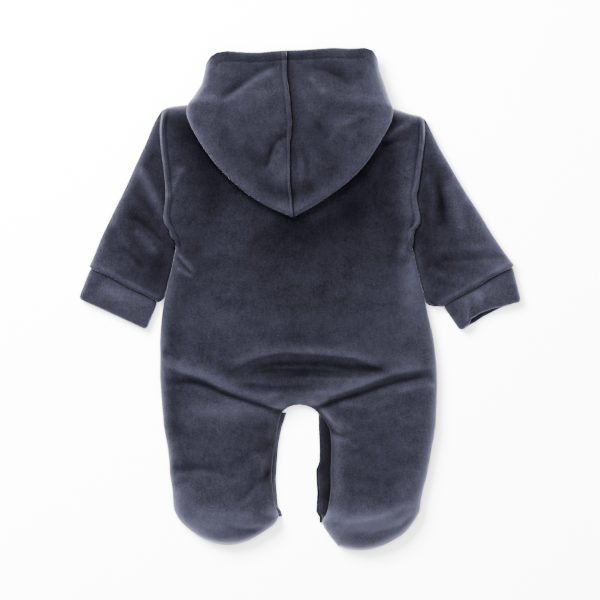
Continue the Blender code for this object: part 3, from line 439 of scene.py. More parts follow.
# Places where the lower layers stand off the surface they lie on.
FRONT_FOLDS = {
    "left": (
        (7, 9, 1.2, -146, 176, -124, 162, -98, 158), (6, 9, 1.7, -138, 132, -112, 112, -82, 104),
        (8, 6, 0.9, -64, 186, -52, 162, -54, 138), (6, 8, 1.2, -130, 62, -104, 52, -72, 58, -44, 50),
        (9, 6, 0.8, -138, 8, -118, -4, -92, -2),
        (8, 11, 2, -148, -66, -124, -78, -92, -88, -58, -104, -36, -112),
        (7, 8, 1, -100, -60, -66, -52, -34, -56), (8, 6, 1.3, -142, -138, -112, -148, -78, -142),
        (6, 8, 1, -42, -150, -58, -176, -62, -204), (7, 6, 1.6, -128, -212, -98, -224, -64, -220),
        (6, 5, 0.8, -112, -240, -84, -246, -58, -240),
    ),
    "right": (
        (8, 7, 1.5, 134, 168, 108, 156, 82, 160), (9, 6, 1.1, 122, 118, 96, 108, 64, 116),
        (6, 8, 1, 40, 192, 44, 166, 36, 142), (7, 9, 1.8, 118, 66, 92, 46, 60, 40),
        (6, 8, 1, 128, 2, 100, -10, 70, -4), (10, 8, 1.9, 146, -70, 118, -80, 84, -92, 50, -106, 34, -113),
        (7, 7, 0.8, 116, -44, 84, -52, 52, -46), (7, 9, 1.4, 142, -150, 110, -160, 86, -154),
        (8, 6, 1.2, 54, -138, 64, -166, 60, -190), (6, 8, 0.9, 124, -198, 96, -208, 64, -202),
        (8, 6, 1.5, 118, -236, 92, -246, 62, -250),
    ),
}
SLEEVE_UNDER_FOLDS = {
    "left": (
        (6, 7, 1.1, -176, 150, -164, 128, -156, 104), (7, 5, 1.5, -204, 88, -184, 76, -164, 72),
        (6, 8, 0.9, -210, 54, -188, 44, -170, 26),
    ),
    "right": (
        (7, 6, 0.9, 150, 164, 158, 138, 152, 112), (6, 8, 1.6, 182, 100, 170, 78, 150, 66),
        (7, 6, 1.2, 214, 58, 188, 50, 164, 52), (5, 6, 0.7, 160, 26, 182, 22),
    ),
}
CUFF_UNDER_FOLDS = {
    "left": (
        (5, 5, 0.7, -226, 14, -206, 2), (5, 6, 0.9, -184, -4, -180, -20),
    ),
    "right": (
        (5, 6, 0.9, 188, 6, 190, -14), (5, 4, 0.6, 218, 22, 216, 6),
    ),
}
HOOD_UNDER_FOLDS = {
    "left": (
        (6, 8, 1.6, -22, 258, -44, 250, -74, 252), (7, 6, 1, -66, 262, -84, 246, -96, 236),
    ),
    "right": (
        (7, 6, 1.3, -2, 262, 14, 248, 36, 242), (6, 8, 1.5, 44, 258, 62, 252, 80, 240),
    ),
}


def painted_fold_light(x, y, folds):
    """Painted highlight along the top of a fold and painted shade along the bottom of a trough."""
    ridges = [fold for fold in folds if fold[2] > 0]
    return 0.04 * relief(x, y, folds) + 0.06 * relief(x, y, ridges, squeeze=0.5)


def edge_distance(x, y):
    return distance(x, y, *OUTLINE)


def upper_z(x, y, height, folds, crown=0.18, reach=70.0, slant=0.0):
    """Height of the upper cloth: a round edge, slanting where told, a soft crown and the folds."""
    inside = edge_distance(x, y)
    rise = height - SEAM_Z
    share = inside / (EDGE_ROUND * rise)
    round_edge = round_up(share)
    round_edge += (smooth(0.5 + 0.42 * share) * 2.0 - 1.0 - round_edge) * slant
    rounded = (1.0 - crown) * round_edge
    rounded += crown * round_up(inside / reach)
    return SEAM_Z + rise * rounded + relief(x, y, folds) * smooth(inside / 11.0 + 0.12)


def lower_z(x, y):
    return SEAM_Z * (1.0 - round_up(edge_distance(x, y) / FRONT_ROUND))


def rim_spread(t):
    """Shares across a section, closer together at both edges."""
    return 0.62 * (0.5 - 0.5 * np.cos(math.pi * t)) + 0.38 * t


def grid(columns, rows, form, wrapped=False):
    """A sheet of cloth: a grid whose points are placed by form(u, v)."""
    mesh = bmesh.new()
    bmesh.ops.create_grid(mesh, x_segments=columns, y_segments=rows, size=0.5)
    verts = list(mesh.verts)
    flat = np.array([v.co[:2] for v in verts]) + 0.5
    u = np.round(flat[:, 0] * columns) / columns
    v = np.round(flat[:, 1] * rows) / rows
    for vert, place in zip(verts, put(*form(u, v))):
        vert.co = place
    if wrapped:
        bmesh.ops.remove_doubles(mesh, verts=mesh.verts, dist=1e-5)
    return mesh


def face_up(mesh, above=-1.0, up=1.0):
    """Turns a sheet so that what lies above a height looks up, or down where up is negative."""
    mesh.normal_update()
    total = sum(f.normal.z * f.calc_area() for f in mesh.faces if f.calc_center_median().z > above)
    if total * up < 0:
        bmesh.ops.reverse_faces(mesh, faces=mesh.faces)


def mesh_data(name, mesh):
    data = bpy.data.meshes.new(name)
    mesh.to_mesh(data)
    mesh.free()
    return data


def add(name, data):
    made = bpy.data.objects.new(name, data)
    bpy.context.scene.collection.objects.link(made)
    return made


def piece(name, mesh, look, nodes=(), wall=CLOTH):
    data = mesh_data(name, mesh)
    data.materials.append(look)
    data.shade_smooth()
    made = add(name, data)
    if wall:
        solid = made.modifiers.new("wall", "SOLIDIFY")
        solid.thickness = wall * MM
        solid.offset = -1.0
        solid.use_rim = True
    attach(made, "root")
    if nodes:
        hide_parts(*nodes)
    return made


# --- materials ---------------------------------------------------------------------------

class Val:
    """A socket in a maths expression."""

    def __init__(self, tree, socket):
        self.tree, self.socket = tree, socket

    def maths(self, operation, *others, swap=False):
        node = self.tree.nodes.new("ShaderNodeMath")
        node.operation = operation
        values = [self, *others]
        if swap:
            values.reverse()
        for held, value in zip(node.inputs, values):
            if isinstance(value, Val):
                self.tree.links.new(value.socket, held)
            else:
                held.default_value = value
        return Val(self.tree, node.outputs[0])

    def __add__(self, other):
        return self.maths("ADD", other)

    __radd__ = __add__

    def __sub__(self, other):
        return self.maths("SUBTRACT", other)

    def __rsub__(self, other):
        return self.maths("SUBTRACT", other, swap=True)

    def __mul__(self, other):
        return self.maths("MULTIPLY", other)

    __rmul__ = __mul__

    def clamp(self):
        return self.maths("MAXIMUM", 0.0).maths("MINIMUM", 1.0)


class Look:
    """A material whose nodes come from one method."""

    def __init__(self, name):
        self.made = bpy.data.materials.new(name)
        self.made.use_nodes = True
        self.tree = self.made.node_tree
        self.shader = self.tree.nodes["Principled BSDF"]

    def node(self, kind, settings=(), out=0, **inputs):
        node = self.tree.nodes.new("ShaderNode" + kind)
        for key, value in dict(settings).items():
            setattr(node, key, value)
        self.fill(node, inputs)
        return Val(self.tree, node.outputs[out])

    def fill(self, node, inputs):
        """Sets or links sockets. A name's spaces are underlines, and _6 is the socket numbered 6."""
        for key, value in inputs.items():
            socket = node.inputs[int(key[1:]) if key[1:].isdigit() else key.replace("_", " ")]
            if isinstance(value, Val):
                self.tree.links.new(value.socket, socket)
            else:
                socket.default_value = value

    def feed(self, **inputs):
        self.fill(self.shader, inputs)

    def place(self, scale=(1.0, 1.0, 1.0)):
        coordinates = self.node("TexCoord", out=3)
        return self.node("Mapping", Vector=coordinates, Scale=scale)

    def noise(self, where, scale, detail, roughness):
        return self.node("TexNoise", Vector=where, Scale=scale, Detail=detail, Roughness=roughness)

    def blend(self, factor, low, high):
        return self.node("Mix", {"data_type": "RGBA"}, out=2, Factor=factor, _6=low, _7=high)


def velour_look(name, dark, light):
    """Short cut pile: nap brushed this way and that, fine grain and a pale sheen."""
    look = Look(name)
    where = look.place()
    # The attribute holds brushed pile together with painted shade and painted highlights of folds, rims and
    # slopes.
    pile_and_painted_light = look.node("Attribute", {"attribute_name": "pile_and_painted_light"}, out=2)
    drift = look.noise(where, 14.0, 2.0, 0.5)
    brushed = look.noise(look.place((1.0, 1.25, 1.0)), 52.0, 4.0, 0.6)
    rows = look.noise(look.place((1.0, 0.35, 1.0)), 330.0, 2.0, 0.6)
    grain = look.noise(where, 800.0, 3.0, 0.65)
    level = (pile_and_painted_light * 0.8 + 0.256).clamp()
    mottle = (drift - 0.5) * 0.35 + (brushed - 0.5) * 0.60 + (rows - 0.5) * 0.30 + (grain - 0.5) * 1.15
    shade = (level + mottle * 0.8 * (level * 2.0 + 0.20).clamp()).clamp()
    look.feed(Base_Color=look.blend(shade, dark, light), Roughness=0.9, Specular_IOR_Level=0.08)
    look.feed(Sheen_Weight=0.42, Sheen_Roughness=0.3, Sheen_Tint=(0.66, 0.68, 0.84, 1.0))
    pile = grain * 0.6 + rows * 0.3 + brushed * 1.2
    look.feed(Normal=look.node("Bump", Strength=0.45, Distance=0.0012, Height=pile))
    return look.made


DARK = (0.0020, 0.0020, 0.0046, 1.0)
LIGHT = (0.068, 0.068, 0.1025, 1.0)
VELOUR = velour_look("velour", DARK, LIGHT)


def plain_look(name, colour, roughness, metallic, gloss=0.5):
    look = Look(name)
    where = look.place()
    worn = look.noise(where, 300.0, 3.0, 0.6)
    shaded = tuple(c * 0.75 for c in colour[:3]) + (1.0,)
    look.feed(Base_Color=look.blend(worn, shaded, colour), Roughness=worn * 0.25 + (roughness - 0.1))
    look.feed(Metallic=metallic, Specular_IOR_Level=gloss)
    return look.made


METAL = plain_look("stud_metal", (0.42, 0.43, 0.47, 1.0), 0.35, 1.0)
THREAD = plain_look("sewing_thread", (0.006, 0.006, 0.011, 1.0), 0.8, 0.0, 0.1)
SLOPE_PAINTED_SHEEN = 0.62


def set_pile_and_painted_light(made, value):
    """Writes how light the colour is at each point, with a painted sheen where the cloth turns."""
    turned = np.empty(len(made.data.vertices) * 3)
    made.data.vertices.foreach_get("normal", turned)
    turned = turned.reshape(-1, 3)
    # painted sheen, paler the more the surface slopes
    value = value + SLOPE_PAINTED_SHEEN * (1.0 - np.abs(turned[:, 2])) ** 0.8
    kept = made.data.attributes.new("pile_and_painted_light", "FLOAT", "POINT")
    kept.data.foreach_set("value", np.asarray(value, np.float32))


def flat_points(made):
    """Plan points and heights of a piece's mesh in millimetres."""
    data = np.empty(len(made.data.vertices) * 3)
    made.data.vertices.foreach_get("co", data)
    data = data.reshape(-1, 3) / MM
    return data[:, 0] + MIDDLE[0], data[:, 1] + MIDDLE[1], data[:, 2]


def beside(line, gap):
    """A line that runs beside another, on its left where the gap is positive."""
    points = np.array(line, float)
    run = np.gradient(points, axis=0)
    run /= np.hypot(run[:, 0], run[:, 1])[:, None]
    return [tuple(row) for row in points + gap * np.stack([-run[:, 1], run[:, 0]], axis=-1)]


def sew(made, name, lines, pitch=3.1, length=2.0, thick=0.55):
    """Rows of stitches along plan lines, half sunk in the upper side of a piece."""
    data = made.data
    tree = BVHTree.FromPolygons([v.co for v in data.vertices], [p.vertices for p in data.polygons])

    def drop(x, y):
        return tree.ray_cast(Vector(put(x, y, ABOVE)), Vector((0.0, 0.0, -1.0)))[0]

    stitches = bmesh.new()
    for line in lines:
        total = run_length(line)
        starts = (np.arange(int(total / pitch)) + 0.2) * pitch / total
        for a, b in zip(zip(*spaced(line, starts)), zip(*spaced(line, starts + length / total))):
            a, b = drop(*a), drop(*b)
            if a is None or b is None:
                continue
            turn = (b - a).to_track_quat("X", "Z").to_matrix().to_4x4()
            sized = Matrix.Diagonal(((b - a).length / 2, thick * MM / 2, thick * MM * 0.4, 1.0))
            bmesh.ops.create_uvsphere(stitches, u_segments=8, v_segments=5, radius=1.0,
                                      matrix=Matrix.Translation((a + b) / 2) @ turn @ sized)
    return piece(name, stitches, THREAD, wall=0)


# --- the back ------------------------------------------------------------------------------

def station_rows(side, cuts, counts):
    """Stations evenly spaced in length between the cuts, the same on both halves above the crotch."""
    found = []
    for (low, high), count in zip(zip(cuts, cuts[1:]), counts):
        fine = np.linspace(low, high, 200)
        outer_x, outer_y, inner_x, inner_y = along(BODY[side if low >= CROTCH else "left"], fine)
        step = np.hypot(np.diff(0.5 * (outer_x + inner_x)), np.diff(0.5 * (outer_y + inner_y)))
        run = np.concatenate([[0.0], np.cumsum(step)])
        wanted = np.linspace(0.0, run[-1], count + 1)
        found.append(np.interp(wanted, run, fine)[(1 if found else 0):])
    return np.concatenate(found)


ARMHOLE = {side: track(BODY[side], np.linspace(0.0, UNDERARM, 29)) for side in SIDES}
ARMHOLE_ROLL = ((2.3, 2.3, 1.7), (GROOVE, 1.4, -1.2), (0.0, 1.5, -1.7))
ARMHOLE_PAINTED_LIGHT = ((1.0, 1.7, 0.33), (6.4, 1.7, -0.18))
PUCKER_WIDTH = 15.0


def armhole_roll(x, y, side):
    """The back's edge stands up a little over the sleeve, with a sewn groove inside it."""
    off, place = nearest(x, y, ARMHOLE[side])
    ends = smooth((place + 0.01) / 0.08) * smooth((1.01 - place) / 0.08)
    return profile(np.abs(off), ARMHOLE_ROLL) * ends


def nudge(x, y, side):
    """Where the armhole's seam puckers near the underarm."""
    return ease(PUCKER[side], y) * bell(distance(x, y, ARMHOLE[side]), PUCKER_WIDTH)


INNER_SLANT = 0.85
INNER_FADE = (18.0, 26.0)  # distance from the inner leg over which the slant ends
FOOT_Y = (-246.0, -228.0)
ANKLE_Y = (-240.0, -225.0)
INNER_LEG = {side: track(BODY[side], np.arange(CROTCH + 1.0, TOE + 0.01, 0.5), 2) for side in SIDES}


def inner_side(x, y):
    """How much a point belongs to the inner side of a leg, above the foot."""
    leg = distance(x, y, *INNER_LEG.values())
    return (1.0 - between(INNER_FADE, leg)) * between(FOOT_Y, y)


def body_form(side, counts, top, surface):
    """Form of a half body. The surface is told which points are on a sewn edge."""
    stations = station_rows(side, (0, UNDERARM, CROTCH, TOE), counts)
    neck = run_length(top[:NECK_POINT + 1]) / run_length(top)

    def form(u, v):
        station = stations[np.round(v * (len(stations) - 1)).astype(int)]
        across = rim_spread(u)
        x, y = body_plan(side, station, across, top)
        sewn = (station >= TOE) | ((across <= 0) & (station >= UNDERARM))
        sewn |= ((across >= 1) & (station >= CROTCH)) | ((station <= 0) & (across <= neck))
        return surface(x, y, station, across, sewn)

    return form, len(stations) - 1


BACK_ROWS = (78, 96, 86)
BACK_COLUMNS = 92
# Plan limits of the cut edges beside the strips of the inner legs.
CUT_EDGE_X = 50.0
CUT_EDGE_Y = (-240.0, -112.0)


def back_surface(side):
    def surface(x, y, station, across, sewn):
        z = upper_z(x, y, read(BODY_HEIGHT, y), BACK_FOLDS, slant=INNER_SLANT * inner_side(x, y))
        z = np.where(sewn, SEAM_Z, z + armhole_roll(x, y, side))
        return x + nudge(x, y, side), y, z + 0.5 * SEAM_GAP

    return surface


def make_back():
    whole = bmesh.new()
    for side in SIDES:
        form, rows = body_form(side, BACK_ROWS, BACK_TOP[side], back_surface(side))
        half = grid(BACK_COLUMNS, rows, form)
        face_up(half)
        data = mesh_data("half", half)
        whole.from_mesh(data)
        bpy.data.meshes.remove(data)
    bmesh.ops.remove_doubles(whole, verts=whole.verts, dist=2e-5)
    for edge in whole.edges:
        x, y, _ = edge.verts[0].co
        if edge.is_boundary and abs(x) < CUT_EDGE_X * MM and CUT_EDGE_Y[0] * MM < y < CUT_EDGE_Y[1] * MM:
            edge.smooth = False
    made = piece("back_velour", whole, VELOUR, ["back"])
    x, y, _ = flat_points(made)
    set_pile_and_painted_light(made, back_pile_and_painted_light(x, y))
    rows = []
    for side, gap in (("left", GROOVE), ("right", -GROOVE)):
        x, y = np.array(beside(ARMHOLE[side][2:-3], gap)).T
        rows.append(list(zip(x + nudge(x, y, side), y)))
    thread = sew(made, "back_stitches", rows)


def nap_and_painted_light_patches(x, y, table):
    """Soft places made lighter or darker by brushed pile and by painted shade and highlights: x, y, half
    sizes, tone.
    """
    total = np.zeros(x.shape)
    for px, py, rx, ry, value in table:
        total += value * np.exp(-(((x - px) / rx) ** 2 + ((y - py) / ry) ** 2))
    return total


BACK_NAP_AND_PAINTED_LIGHT = (
    # beside and below the hood: painted shadow of the hood, and brushed pile
    (77, 130, 46, 42, -0.26), (-98, 145, 34, 44, -0.26), (-128, 185, 26, 26, -0.12), (0, 80, 85, 30, -0.27),
    (-20, 40, 90, 30, -0.14), (-71, 81, 28, 13, 0.16), (-78, 55, 30, 14, 0.1), (110, 75, 14, 50, -0.1),
    (121, 112, 12, 46, 0.3), (121, 188, 15, 18, -0.14), (108, 201, 12, 5, -0.12), (-86, 100, 30, 30, -0.12),
    (-121, 186, 16, 18, -0.12), (-99, 164, 14, 16, -0.15), (99, 164, 12, 18, -0.14), (-77, 99, 14, 12, 0.1),
    (14, 96, 12, 10, 0.08), (55, 98, 16, 14, -0.1), (-118, 50, 24, 26, -0.12), (124, 16, 13, 32, 0.26),
    (70, 43, 28, 18, -0.09),
    # waist and seat: painted shade in the seat's folds and dips, and brushed pile
    (-82, -24, 42, 14, 0.12), (20, -10, 80, 25, -0.1), (-30, -50, 60, 10, 0.06), (-140, 20, 14, 60, -0.06),
    (11, -78, 74, 11, -0.26), (-130, -91, 30, 5, -0.1), (125, 0, 20, 60, 0.08), (-143, -50, 14, 22, -0.17),
    (140, -32, 10, 22, 0.14), (2, -47, 34, 14, -0.19), (-56, -56, 14, 8, -0.07), (88, -77, 22, 8, -0.42),
    (-78, -80, 14, 9, -0.12), (142, -78, 12, 8, -0.1), (-55, -99, 26, 8, -0.24), (10, -100, 46, 7, -0.2),
    # legs: painted shade and highlights of the folds, and brushed pile
    (-96, -128, 44, 18, 0.16), (-110, -170, 34, 22, 0.1), (-110, -185, 30, 7, -0.1),
    (-30, -170, 10, 50, -0.16), (138, -170, 16, 60, 0.12), (90, -130, 40, 9, 0.06),
    (60, -190, 40, 30, -0.04), (-60, -123, 52, 9, 0.3), (-144, -134, 13, 28, -0.27),
    (120, -144, 18, 34, 0.08), (-96, -200, 32, 18, 0.1), (-54, -208, 12, 14, 0.08),
    (-37, -202, 6, 34, -0.16), (36, -232, 10, 10, -0.1), (-66, -233, 26, 8, -0.16),
    (55, -232, 14, 8, -0.12), (92, -250, 28, 9, 0.46), (38, -252, 8, 10, -0.18),
    # feet: painted sheen, painted shade in the creases, and brushed pile
    (-87, -249, 56, 20, 0.6), (77, -251, 60, 22, 0.6), (-126, -222, 18, 20, 0.26),
    (-60, -255, 26, 3.5, -0.24), (-84, -262, 20, 3, -0.14), (-80, -250, 26, 7, 0.24),
    (98, -257, 14, 3, -0.16), (72, -263, 16, 3.5, -0.14), (121, -216, 18, 26, 0.26),
    (-85, -215, 40, 16, -0.02), (85, -215, 40, 14, -0.04),
)


def back_pile_and_painted_light(x, y):
    # Painted highlight along the outline, painted shade along the inner leg's edge, and at the armhole a
    # painted highlight on the rolled edge with painted shade in its stitched groove.
    rim = 0.14 * bell(edge_distance(x, y), 8.0)
    rim -= 0.45 * bell(distance(x, y, *INNER_LEG.values()), 5.0) * between(ANKLE_Y, y)
    rim += profile(distance(x, y, *ARMHOLE.values()), ARMHOLE_PAINTED_LIGHT)
    return nap_and_painted_light_patches(x, y, BACK_NAP_AND_PAINTED_LIGHT) + rim + painted_fold_light(x, y, BACK_FOLDS)


# --- the fronts ------------------------------------------------------------------------------

FRONT_ROWS = (30, 36, 40)
FRONT_COLUMNS = 40
FRONT_LAP = 9.0  # how far each front runs past the middle line
LAP_RISE = 2.8  # the right front lies on the left one
LAP_EASE = 60.0  # width beside the middle that is drawn over for it
LAP_Y = (-94.0, -80.0)
RAISE_Y = (-112.0, -102.5)
RAISE_X = (38.0, 13.0)
SEAM_SHIFT = 0.02  # share of the lap that keeps the fronts apart below it


def make_front(side):
    lap = FRONT_LAP if side == "left" else -FRONT_LAP

    def surface(x, y, station, across, sewn):
        outer_x, outer_y, inner_x, inner_y = along(BODY[side], station)
        width = np.hypot(outer_x - inner_x, outer_y - inner_y)
        z = lower_z(x, y) + relief(x, y, FRONT_FOLDS[side]) * smooth(edge_distance(x, y) / 12.0)
        z = np.where(sewn, SEAM_Z - SEAM_GAP, z)
        reach = np.clip(1.0 - (1.0 - across) * width / LAP_EASE, 0.0, None)
        x = x + (-SEAM_SHIFT * lap + (1 + SEAM_SHIFT) * lap * between(LAP_Y, y)) * reach
        if side == "right":
            z = z + LAP_RISE * between(RAISE_X, x - inner_x - FRONT_LAP) * between(RAISE_Y, y)
        return x, y, z

    form, rows = body_form(side, FRONT_ROWS, FRONT_TOP[side], surface)
    sheet = grid(FRONT_COLUMNS, rows, form)
    face_up(sheet, up=-1.0)
    made = piece("front_%s_velour" % side, sheet, VELOUR, ["front_" + side])
    x, y, _ = flat_points(made)
    # a painted pale rim along the edge, and darker where the folds lift the cloth
    set_pile_and_painted_light(made, 0.1 * bell(edge_distance(x, y), 7.0) - 0.07 * relief(x, y, FRONT_FOLDS[side]))


# --- sleeves and cuffs -----------------------------------------------------------------------

def tube_side(u):
    """Share across a flat tube and whether a point is on its upper layer."""
    upper = u <= 0.5
    run = np.where(upper, u * 2.0, (1.0 - u) * 2.0)
    return rim_spread(run), upper


SLEEVE_ROWS = 74
SLEEVE_COLUMNS = 128
UNDERARM_GAP = 0.25  # the sleeve lies against the side of the body
SLIP = 1.7  # the sleeve's top runs in under the edge of the back
ROW_CLOSING = 0.55  # how much closer its rows lie at both ends
SLEEVE_CROWN, SLEEVE_REACH = 0.45, 30.0
SLEEVE_SINK = ((0.0, 9.0, 1.9), (0.0, 3.0, 0.9))  # beside the armhole
# Painted highlight on the sleeve's rolled end and painted shade at its seam with the cuff: offset, width,
# tone.
SLEEVE_END_PAINTED_LIGHT = ((-4.0, 3.5, 0.12), (0.4, 0.9, -0.25))


def body_edge(side, y):
    """The outline of the body below the underarm."""
    edge_x, edge_y, _, _ = along(BODY[side], np.linspace(UNDERARM, UNDERARM + 6, 61))
    return np.interp(y, edge_y[::-1], edge_x[::-1])


def make_sleeve(side):
    table = SLEEVE[side]
    last = len(table) - 1
    inward = 1 if side == "left" else -1
    _, out = cuff_frame(side)

    def form(u, v):
        share, upper = tube_side(u)
        v = v - ROW_CLOSING * v * (1.0 - v) * (1.0 - 2.0 * v)
        station = v * last
        ax, ay, bx, by, height = along(table, station)
        weight = 1.0 - v
        cut_x, cut_y, _, _ = along(BODY[side], share * UNDERARM)
        first, end = BODY[side][0], BODY[side][UNDERARM]
        x = mix(ax, bx, share) + (cut_x - mix(first[0], end[0], share)) * weight
        y = mix(ay, by, share) + (cut_y - mix(first[1], end[1], share)) * weight
        # the under edge lies against the side of the body
        hold = smooth(share * 6.0 - 5.0) * smooth(v * 20.0 + 0.4) * smooth((1.0 - v) * 9.0)
        x = x + hold * (body_edge(side, by) - bx - UNDERARM_GAP * inward)
        top = upper_z(x, y, height, SLEEVE_FOLDS[side], SLEEVE_CROWN, SLEEVE_REACH)
        thick = smooth((top - SEAM_Z) / 5.0)
        slip = smooth(1.0 - v / 0.035)
        top -= profile(distance(x, y, ARMHOLE[side]), SLEEVE_SINK) * thick
        # the end rolls up a little and drops to the seam of the cuff
        roll = 1.3 * bell(v - 0.955, 0.028)
        drop = 2.4 * (1.0 - round_up((1.0 - v) / 0.03))
        top += (roll - drop) * thick
        lifted = relief(x, y, SLEEVE_UNDER_FOLDS[side]) * smooth(edge_distance(x, y) / 10.0)
        z = np.where(upper, top, lower_z(x, y) + lifted)
        edge = (share <= 0) | (share >= 1)
        x = x + nudge(x, y, side) * smooth(weight * 1.6) + inward * slip * np.where(upper, SLIP, 0.45)
        wave = 0.7 * np.sin(share * 13.0 + 0.6) * smooth(v * 12.0 - 11.0) * thick * upper
        y = y + wave * out.y - slip * 0.6 * (share <= 0)
        return x + wave * out.x, y, np.where(edge, SEAM_Z - slip, z)

    tube = grid(SLEEVE_COLUMNS, SLEEVE_ROWS, form, wrapped=True)
    face_up(tube, SEAM_Z * MM)
    made = piece("sleeve_%s_velour" % side, tube, VELOUR, ["sleeve_" + side])
    x, y, _ = flat_points(made)
    outer = distance(x, y, track(table, np.linspace(0.0, last, 33)))
    # painted highlight along the rounded overarm and painted shade beside the armhole
    pile_and_painted_light = 0.22 * bell(outer, 20.0) - 0.06 - 0.10 * bell(distance(x, y, ARMHOLE[side]), 12.0)
    end = (x - table[-1][0]) * out.x + (y - table[-1][1]) * out.y
    pile_and_painted_light += profile(end, SLEEVE_END_PAINTED_LIGHT)
    set_pile_and_painted_light(made, pile_and_painted_light + painted_fold_light(x, y, SLEEVE_FOLDS[side]) + nap_and_painted_light_patches(x, y, SLEEVE_NAP_AND_PAINTED_LIGHT))


SLEEVE_NAP_AND_PAINTED_LIGHT = (
    (-170, 170, 14, 30, -0.16), (-172, 80, 16, 26, -0.14), (-150, 122, 8, 12, -0.06),
    (-160, 20, 16, 20, -0.08), (-175, 138, 17, 28, -0.23), (-191, 104, 14, 22, -0.18),
    (-207, 76, 12, 16, -0.26), (-152, 40, 22, 22, -0.17), (-212, 33, 14, 10, 0.1), (-188, 17, 16, 8, 0.09),
    (146, 110, 12, 34, -0.14), (168, 150, 14, 18, -0.06), (136, 60, 12, 30, -0.1), (162, 108, 14, 28, -0.2),
    (205, 75, 24, 40, 0.16), (162, 6, 14, 8, 0.06), (143, 150, 10, 20, -0.08), (150, 34, 18, 14, -0.14),
    (185, 130, 16, 30, 0.12), (214, 34, 20, 10, 0.2), (190, 20, 22, 8, 0.2), (227, 32, 12, 9, 0.14),
)


CUFF_ROWS = 34
CUFF_COLUMNS = 96
CUFF_TUCK = 2.0  # how far the cuff runs up inside the sleeve's end
CUFF_CORNER = 3.0


def cuff_frame(side):
    ax, ay, bx, by, _ = SLEEVE[side][-1]
    across = Vector((bx - ax, by - ay)).normalized()
    out = Vector((across.y, -across.x))
    return across, out if out.y < 0 else -out


def make_cuff(side):
    across, out = cuff_frame(side)
    ax, ay, bx, by, _ = SLEEVE[side][-1]
    start_a = Vector((ax, ay)) + across * CUFF_INSET - out * CUFF_TUCK
    start_b = Vector((bx, by)) - across * CUFF_INSET - out * CUFF_TUCK
    mouth_a, mouth_b = CUFF_MOUTH[side]
    mid = 0.5 * CUFF_HEIGHT
    width = math.dist(mouth_a, mouth_b)
    depth = 0.5 * (math.dist(start_a, mouth_a) + math.dist(start_b, mouth_b))

    def form(u, v):
        share, upper = tube_side(u)
        v = rim_spread(v)
        near = v * depth  # from the seam
        left = (1.0 - v) * depth  # to the mouth
        corner = CUFF_CORNER * (1.0 - round_up(left / CUFF_CORNER))
        belly = 0.9 * smooth((near - CUFF_TUCK) / 5.0) * smooth(left / 5.0)
        narrow = (corner - belly) / width
        share = narrow + share * (1.0 - 2.0 * narrow)
        x, y = (mix(mix(start_a[n], start_b[n], share), mix(mouth_a[n], mouth_b[n], share), v)
                for n in (0, 1))
        inside = (np.minimum(share, 1.0 - share) - narrow) * width
        rise = mid * round_up(inside / (1.1 * mid))
        soft = smooth(inside / 4.0)
        rise = rise - 0.9 * bell(near - CUFF_TUCK, 1.6) * soft
        rise = rise + 1.1 * bell(v - 0.55, 0.3) * smooth(inside / 12.0)
        rise = rise - 1.9 * (1.0 - round_up(left / 3.2)) * soft
        over, under = MOUTH_DRAWN_BACK[side]
        toward = smooth((v - 0.3) / 0.7)
        drawn = np.where(upper, ease(over, share), ease(under, share)) * toward
        rise = rise - np.where(upper, 0.2, 0.0) * drawn * toward
        rise = rise + np.where(upper, relief(x, y, CUFF_FOLDS[side]) * smooth(inside / 7.0), 0.0)
        lower = np.minimum(rise, mid - 2.4 * smooth(1.0 - (near - CUFF_TUCK - 0.6) / 2.0))
        lower = lower - relief(x, y, CUFF_UNDER_FOLDS[side]) * smooth(inside / 7.0) * smooth(left / 5.0)
        z = mid + np.where(upper, rise, -lower)
        return x - out.x * drawn, y - out.y * drawn, z

    tube = grid(CUFF_COLUMNS, CUFF_ROWS, form, wrapped=True)
    face_up(tube, SEAM_Z * MM)
    made = piece("cuff_%s_velour" % side, tube, VELOUR, ["cuff_" + side])
    x, y, _ = flat_points(made)
    from_seam = (x - ax) * out.x + (y - ay) * out.y
    # painted shade along the seam under the sleeve's rolled end
    pile_and_painted_light = 0.16 - 0.22 * bell(from_seam, 4.0) + painted_fold_light(x, y, CUFF_FOLDS[side])
    set_pile_and_painted_light(made, pile_and_painted_light + nap_and_painted_light_patches(x, y, CUFF_NAP_AND_PAINTED_LIGHT))


CUFF_NAP_AND_PAINTED_LIGHT = (
    (-230, 10, 12, 10, -0.1), (-208, -10, 18, 6, -0.12), (168, -14, 10, 8, -0.12), (-198, 6, 20, 10, 0.12),
    (-180, -22, 16, 8, -0.06), (187, 9, 18, 13, 0.46), (210, 12, 12, 10, 0.11), (168, 2, 10, 10, 0.09),
)


# --- the hood --------------------------------------------------------------------------------

HOOD_ROWS = 96
HOOD_COLUMNS = 96
TOP_SHARE = 0.56  # of the columns lie on the top layer
ROLL_SHARE = 0.70  # and the fold of the outline ends here
HEM_FORM = ((HEM, 1.3, -1.3), (5.0, 4.0, 0.7))
PUFF_HEIGHTS = (23.0, 33.0)
# Painted shade in the seam where one half runs under the other.
UNDER_CUT_PAINTED_SHADE = ((0.0, 1.7, -0.62), (0.0, 6.0, -0.15))  # on the half that ends under the other
HOOD_LYING = 17.0  # the layer that lies on the floor is lower
HOOD_TOP_FROM = 0.026  # only the top layer reaches this height, in metres
ALLOWANCE = 2.6
SEAM_WIDE = (165.0, 185.0)  # where it grows to twice that
FLAP_Y = (96.0, 112.0)
# Cut edges turned in along the seam: column, distance from the seam, drop. The right one ends
# under the left one.
SEAM_FLAP = {"left": ((0, -0.15, 3.0),), "right": ((0, -2.2, 3.7), (1, 0.15, 3.2))}


def allowance(y):
    """Width of the seam allowance that shows."""
    return ALLOWANCE * (1.0 + between(SEAM_WIDE, y))


